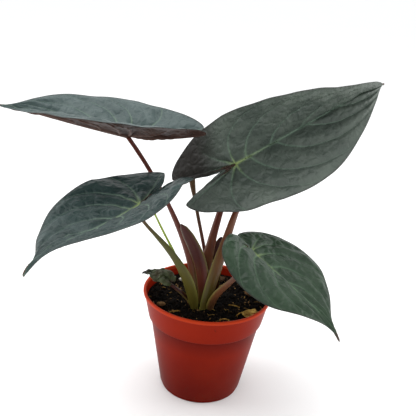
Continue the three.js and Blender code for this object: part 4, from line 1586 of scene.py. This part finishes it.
def thread_tree() -> Grower:
    """Builds the tree that lays short bent fibres over the points where "bed" is 1."""
    grower = Grower("laid_fibres")
    density = grower.input("Density", "Float", 4000.0)
    length = grower.input("Length", "Float", 0.006)
    radius = grower.input("Radius", "Float", 0.00018)
    seed = grower.input("Seed", "Int", 1)
    material = grower.input("Material", "Material", None)
    bed = grower.node("InputNamedAttribute", {"data_type": "FLOAT"}, {"Name": "bed"}).outputs[0]
    thick = grower.tree.nodes.new("ShaderNodeMath")
    thick.operation = "MULTIPLY"
    grower.tree.links.new(bed, thick.inputs[0])
    grower.tree.links.new(density, thick.inputs[1])
    spread = grower.node(
        "DistributePointsOnFaces", {"distribute_method": "RANDOM"},
        {"Mesh": grower.inlet.outputs[0], "Density": thick.outputs[0], "Seed": seed},
    )
    bow = grower.node(
        "CurvePrimitiveBezierSegment", {"mode": "POSITION"},
        {"Resolution": 6, "Start": (-0.5, 0.0, 0.0), "Start Handle": (-0.2, 0.30, 0.16),
         "End Handle": (0.2, -0.22, 0.14), "End": (0.5, 0.06, 0.0)},
    ).outputs[0]
    turn = grower.random((-0.25, -0.25, 0.0), (0.25, 0.25, 6.28), 5)
    size = grower.random(0.45, 1.25, 7, "FLOAT")
    sized = grower.tree.nodes.new("ShaderNodeMath")
    sized.operation = "MULTIPLY"
    grower.tree.links.new(size, sized.inputs[0])
    grower.tree.links.new(length, sized.inputs[1])
    placed = grower.node(
        "InstanceOnPoints", {},
        {"Points": spread.outputs[0], "Instance": bow, "Rotation": turn, "Scale": sized.outputs[0]},
    )
    real = grower.node("RealizeInstances", {}, {0: placed.outputs[0]}).outputs[0]
    ring = grower.node("CurvePrimitiveCircle", {"mode": "RADIUS"}, {"Resolution": 5, "Radius": radius}).outputs[0]
    tube = grower.node("CurveToMesh", {}, {"Curve": real, "Profile Curve": ring, "Fill Caps": True}).outputs[0]
    grower.finish(tube, material)
    return grower


# ---- Soil ----


@dataclass
class Soil:
    """Moist dark potting mix with its crumbs, flecks and fibres."""

    low: Vector
    high: Vector
    crown: Pair
    level: float
    mound: float = 2.5
    mound_reach: float = 24.0
    ripple: float = 0.7
    foot_inset: float = 21.4
    step_inset: float = 6.3
    step_foot: float = 73.7
    collar_inset: float = 4.1
    step_top: float = 76.0
    rings: int = 56
    segments: int = 150

    def surface(self, x: Array, y: Array) -> Array:
        """Returns the height of the smooth surface, as the frame's soil has it."""
        from_crown = np.hypot(x - self.crown[0], y - self.crown[1])
        ripple = np.sin(x * 0.31 + y * 0.17) * np.cos(y * 0.27 - x * 0.11)
        return self.level + self.mound * np.exp(-((from_crown / self.mound_reach) ** 2)) + self.ripple * ripple

    def build(self) -> None:
        """Makes the bed and everything loose on it."""
        radius = self.high.x / MM
        floor = self.low.z / MM
        wall = [
            (0.0, floor),
            (radius - self.foot_inset, floor),
            (radius - self.step_inset, self.step_foot),
            (radius - self.collar_inset, self.step_top),
            (radius, self.level),
        ]
        top = [(radius * (1 - ring / self.rings), self.level) for ring in range(1, self.rings)]
        bed = revolved(np.array([*wall, *top, (0.0, self.level)]), self.segments)
        x, y, z = bed.points.T
        on_top = z > self.level - 0.01
        inland = np.where(on_top, smooth((radius - np.hypot(x, y)) / 6), 0)
        rough = roughness_field(bed.points, 7.0, 2.0, 3) * 1.1 + roughness_field(bed.points, 2.2, 4.0, 2) * 0.55
        bed.points[:, 2] = z + inland * (self.surface(x, y) - z) + rough * np.where(on_top, 0.35 + 0.65 * inland, 0)
        bed.fields = {"bed": np.where(on_top, smooth((radius - 1.5 - np.hypot(x, y)) / 1.2), 0.0)}
        soil = bed.piece("soil_bed", [self.peat("soil_bed_mix").material()])
        self.litter(soil)
        carry(soil, Slot.SOIL, "soil")

    def peat(self, name: str) -> Grit:
        """Returns the finish of moist peat."""
        return Grit(name, (0.0024, 0.0014, 0.0008), (0.0085, 0.0048, 0.0026), (0.034, 0.019, 0.009), 520.0, 0.0009)

    def litter(self, soil: bpy.types.Object) -> None:
        """Strews crumbs, flecks, chips and fibres over the bed."""
        crumbs, threads = crumb_tree(), thread_tree()
        black = Grit("crumb_black", (0.0016, 0.0012, 0.0009), (0.0060, 0.0042, 0.0028), (0.022, 0.014, 0.008), 700.0)
        brown = Grit("crumb_brown", (0.010, 0.0060, 0.0034), (0.030, 0.017, 0.009), (0.085, 0.048, 0.022), 600.0)
        tan = Grit("fleck_tan", (0.10, 0.055, 0.022), (0.30, 0.175, 0.070), (0.60, 0.40, 0.17), 500.0)
        straw = Grit("thread_straw", (0.13, 0.075, 0.022), (0.30, 0.185, 0.050), (0.48, 0.33, 0.11), 420.0)
        dark = Grit("thread_dark", (0.012, 0.007, 0.004), (0.040, 0.022, 0.011), (0.11, 0.06, 0.03), 420.0)
        strewn = [
            ("soil_crumbs", 620000.0, (0.0004, 0.0004, 0.0003), (0.0015, 0.0012, 0.0010), 1, 0.0007, 3, black),
            ("soil_lumps", 62000.0, (0.0010, 0.0009, 0.0007), (0.0030, 0.0024, 0.0018), 2, 0.0014, 5, black),
            ("brown_crumbs", 42000.0, (0.0005, 0.0005, 0.0004), (0.0019, 0.0014, 0.0011), 2, 0.0009, 8, brown),
            ("tan_flecks", 11000.0, (0.0004, 0.0004, 0.0003), (0.0028, 0.0014, 0.0009), 2, 0.0009, 13, tan),
        ]
        for name, density, low, high, facets, uneven, seed, finish in strewn:
            values = {
                "Density": density, "Smallest": low, "Largest": high, "Facets": facets,
                "Unevenness": uneven, "Seed": seed, "Material": finish.material(),
            }
            carry(crumbs.grow(soil, name, values), Slot.SOIL)
        laid = [
            ("straw_threads", 5200.0, 0.0085, 0.00030, 21, straw),
            ("dark_threads", 9000.0, 0.0090, 0.00016, 34, dark),
        ]
        for name, density, length, radius, seed, finish in laid:
            values = {
                "Density": density, "Length": length, "Radius": radius, "Seed": seed,
                "Material": finish.material(),
            }
            carry(threads.grow(soil, name, values), Slot.COIR)


@dataclass
class Lump:
    """A rough chip on the soil, shaped from a ball inside its node's box."""

    node: str
    slot: Slot
    finish: Grit
    turn: float
    size: Triple
    ridges: float
    splinter: float
    seed: float

    def build(self) -> None:
        """Makes the chip where its node lies."""
        low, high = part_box(self.node)
        middle = np.array((low + high) / 2) / MM
        around, up = 44, 26
        theta = np.linspace(0, math.pi, up)
        profile = np.column_stack([np.sin(theta), -np.cos(theta)])
        profile[0, 0] = profile[-1, 0] = 0
        ball = revolved(profile, around)
        p = ball.points
        boxy = np.sign(p) * np.abs(p) ** 0.72
        grain = np.column_stack([p[:, 0] * 0.6, p[:, 1] * 3.0, p[:, 2] * 3.0])
        ridge = roughness_field(grain * 10, 9.0, self.seed, 3)
        broken = roughness_field(p * 10, 8.0, self.seed + 4, 3)
        swell = 1 + self.ridges * ridge + self.splinter * broken
        shaped = boxy * swell[:, None] * np.array(self.size) / 2
        c, s = math.cos(math.radians(self.turn)), math.sin(math.radians(self.turn))
        ball.points = shaped @ np.array([[c, s, 0], [-s, c, 0], [0, 0, 1]]) + middle
        carry(ball.piece(self.node + "_piece", [self.finish.material()]), self.slot, self.node)


@dataclass
class Fibre:
    """A frayed bundle of coir strands that arches between two points, in shares of the soil's radius."""

    node: str
    start: Pair
    end: Pair
    arch: float
    bow: float
    radius: float
    strands: int = 4

    def build(self) -> None:
        """Makes the bundle where its node lies."""
        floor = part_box(self.node)[0].z / MM
        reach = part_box("soil")[1].x / MM
        a = np.array([*self.start, 0.0]) * reach
        b = np.array([*self.end, 0.0]) * reach
        across = unit(np.array([a[1] - b[1], b[0] - a[0], 0.0])) * self.bow
        middle = (a + b) / 2 + across + [0, 0, self.arch]
        t = np.linspace(0, 1, 30)[:, None]
        spine = a * (1 - t) ** 2 + 2 * middle * t * (1 - t) + b * t**2 + [0, 0, floor + self.radius]
        tangent = unit(np.gradient(spine, axis=0))
        side = unit(np.cross(tangent, [0.0, 0.0, 1.0]))
        over = np.cross(side, tangent)
        angle = np.arange(8) / 8 * 2 * math.pi
        parts: list[Skin] = []
        for strand in range(self.strands):
            phase = strand / self.strands * 2 * math.pi + 3.5 * t
            spread = self.radius * (0.55 + 0.8 * (2 * t - 1) ** 4)
            centre = spine + side * np.cos(phase) * spread + over * np.sin(phase) * spread * 0.7
            thick = self.radius * 0.42 * (1 - 0.55 * (2 * t - 1) ** 2)
            ring = side[:, None] * np.cos(angle)[None, :, None] + over[:, None] * np.sin(angle)[None, :, None]
            rings = centre[:, None] + ring * thick[:, None]
            parts.append(loft(rings, {}, np.zeros(rings.shape[:2] + (2,))))
        points = np.vstack([part.points for part in parts])
        count = len(parts[0].points)
        faces = [tuple(i + n * count for i in face) for n, part in enumerate(parts) for face in part.faces]
        straw = Grit(
            f"{self.node}_straw", (0.16, 0.085, 0.020), (0.40, 0.250, 0.060), (0.62, 0.44, 0.14), 700.0, 0.0003,
        )
        carry(Skin(points, faces).piece(self.node + "_bundle", [straw.material()]), Slot.COIR, self.node)


@dataclass
class Litter:
    """The named chips, the perlite grain and the fibres that lie on the soil."""

    def build(self) -> None:
        """Makes every piece."""
        amber = Grit("bark_amber", (0.26, 0.150, 0.035), (0.62, 0.420, 0.110), (0.85, 0.66, 0.26), 300.0, 0.0012)
        tan = Grit("bark_tan", (0.10, 0.055, 0.025), (0.27, 0.155, 0.065), (0.45, 0.29, 0.13), 300.0, 0.0012)
        dark = Grit("bark_dark", (0.020, 0.011, 0.006), (0.060, 0.033, 0.017), (0.13, 0.08, 0.04), 300.0, 0.0012)
        russet = Grit("bark_russet", (0.060, 0.030, 0.014), (0.15, 0.080, 0.036), (0.28, 0.17, 0.08), 300.0, 0.0012)
        white = Grit("perlite_white", (0.30, 0.27, 0.22), (0.52, 0.49, 0.42), (0.72, 0.70, 0.64), 500.0, 0.0010)
        chips = [
            Lump("bark_chip_front", Slot.BARK, amber, 20, (13, 8, 5.5), 0.30, 0.34, 3.1),
            Lump("bark_chip_left", Slot.BARK, tan, -10, (7, 4.5, 2.6), 0.30, 0.30, 1.7),
            Lump("bark_chip_back", Slot.BARK, dark, 60, (8, 5, 3), 0.30, 0.30, 4.4),
            Lump("bark_chip_right", Slot.BARK, russet, 140, (7, 5, 2.8), 0.30, 0.30, 2.3),
            Lump("perlite_grain", Slot.PERLITE, white, 35, (4.2, 3.8, 3.2), 0.10, 0.30, 5.2),
        ]
        fibres = [
            Fibre("fibre_front", (0.5, -0.59), (0.68, -0.45), 3.2, 3, 0.75),
            Fibre("fibre_middle", (0.38, -0.22), (0.56, -0.27), 2.8, -3, 0.70),
            Fibre("fibre_near", (0.22, -0.77), (0.39, -0.74), 2.4, 2, 0.65),
            Fibre("fibre_left", (-0.59, -0.65), (-0.41, -0.57), 2.6, -2, 0.70),
        ]
        for piece in (*chips, *fibres):
            piece.build()


@dataclass
class Rhizome:
    """The buried corm that every stalk stands on, ringed by old leaf scars."""

    low: Vector
    high: Vector
    scars: int = 7

    def build(self) -> None:
        """Makes the corm inside its node's box."""
        radius = (self.high.x - self.low.x) / 2 / MM
        top, foot = self.high.z / MM, self.low.z / MM
        centre = np.array([(self.low.x + self.high.x) / 2, (self.low.y + self.high.y) / 2, 0]) / MM
        share = np.linspace(0, 1, 70)
        girth = np.interp(share, [0, 0.3, 0.65, 0.85, 1], [0.5, 0.9, 1.0, 0.94, 0.98])
        ring = 1 - 0.035 * np.abs(np.sin(share * math.pi * self.scars)) ** 6
        body = np.column_stack([radius * girth * ring, mix(foot, top, share)])
        corm = revolved(np.vstack([[0, foot], body, [0, top]]), 90)
        push = roughness_field(corm.points, 5.0, 6.0, 3)
        corm.points[:, :2] *= (1 - 0.03 * np.abs(push))[:, None]
        corm.points = corm.points + centre
        skin = Grit("corm_skin", (0.035, 0.018, 0.010), (0.105, 0.058, 0.032), (0.22, 0.14, 0.08), 260.0, 0.0012)
        carry(corm.piece("corm", [skin.material()], crease=50), Slot.RHIZOME, "rhizome")


# ---- Studio ----


@dataclass
class Studio:
    """A white sweep, soft lights and the camera."""

    aim: Triple = (-0.0057, 0.0, 0.1827)
    distance: float = 0.600
    elevation: float = 20.81
    tilt: float = 4.79
    focal_length: float = 57.7

    def camera(self) -> None:
        """Points the camera down at the plant, turned a little about its axis."""
        rise, tilt = math.radians(self.elevation), math.radians(self.tilt)
        back = Vector((0, -math.cos(rise), math.sin(rise)))
        right = Vector((1, 0, 0))
        up = right.cross(-back)
        turned_right = right * math.cos(tilt) + up * math.sin(tilt)
        turned_up = up * math.cos(tilt) - right * math.sin(tilt)
        data = bpy.data.cameras.new("camera")
        data.lens = self.focal_length
        data.sensor_width = 36.0
        camera = bpy.data.objects.new("camera", data)
        turn = Matrix((turned_right, turned_up, back)).transposed()
        camera.matrix_world = Matrix.Translation(Vector(self.aim) + back * self.distance) @ turn.to_4x4()
        bpy.context.scene.collection.objects.link(camera)
        bpy.context.scene.camera = camera

    def floor(self) -> None:
        """Lays a wide pale floor."""
        reach = 20000.0
        corners = np.array([(-reach, -reach, 0), (reach, -reach, 0), (reach, reach, 0), (-reach, reach, 0)], float)
        dye = Dye("floor_paper")
        cloud = dye.mottle(dye.place(), 3.0, 2.0)
        dye.set(Base_Color=dye.blend(cloud, (0.95, 0.95, 0.95), (0.97, 0.97, 0.97)), Roughness=0.9)
        Skin(corners, [(0, 1, 2, 3)]).piece("floor", [dye.material])

    def light(self, name: str, place: Triple, target: Triple, size: float, power: float, tint: Colour) -> None:
        """Hangs a soft square light that faces a target."""
        data = bpy.data.lights.new(name, "AREA")
        data.size = size
        data.energy = power
        data.color = tint
        lamp = bpy.data.objects.new(name, data)
        lamp.location = place
        lamp.rotation_euler = (Vector(target) - Vector(place)).to_track_quat("-Z", "Y").to_euler()
        bpy.context.scene.collection.objects.link(lamp)

    def lights(self) -> None:
        """Fills the room with even light and adds three soft boxes."""
        world = bpy.data.worlds.new("studio")
        world.use_nodes = True
        bpy.context.scene.world = world
        background = world.node_tree.nodes["Background"]
        background.inputs["Color"].default_value = (0.985, 0.995, 1.0, 1.0)
        background.inputs["Strength"].default_value = 1.05
        centre = (0.0, 0.0, 0.15)
        self.light("overhead", (-0.25, 0.25, 1.35), centre, 1.1, 8.0, (1.0, 1.0, 1.0))
        self.light("left_box", (-1.15, 0.05, 0.45), centre, 0.8, 6.0, (1.0, 0.99, 0.98))
        self.light("right_box", (1.15, 0.1, 0.45), centre, 0.8, 5.0, (1.0, 0.99, 0.98))

    def build(self) -> None:
        """Sets the whole studio up."""
        self.camera()
        self.floor()
        self.lights()
        bpy.context.scene.view_settings.view_transform = "Standard"


def corners(box: Iterable[Vector]) -> list[list[float]]:
    """Returns a box's two corners as plain lists."""
    return [list(corner) for corner in box]


def main() -> None:
    """Builds every piece around the frame."""
    logging.basicConfig(level=logging.INFO, format="%(name)s: %(message)s")
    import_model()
    Studio().build()
    pot_low, pot_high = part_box("pot")
    crown_low, crown_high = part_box("rhizome")
    soil_low, soil_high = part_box("soil")
    crown = np.array([(crown_low.x + crown_high.x) / 2, (crown_low.y + crown_high.y) / 2, crown_high.z]) / MM
    Pot(height=pot_high.z / MM, rim_radius=pot_high.x / MM).build()
    Rhizome(crown_low, crown_high).build()
    Soil(soil_low, soil_high, (crown[0], crown[1]), level=pot_high.z / MM - SOIL_BELOW_RIM).build()
    Litter().build()
    Foliage(crown, (crown_high.x - crown_low.x) / 2 / MM).build()


if __name__ == "__main__":
    main()
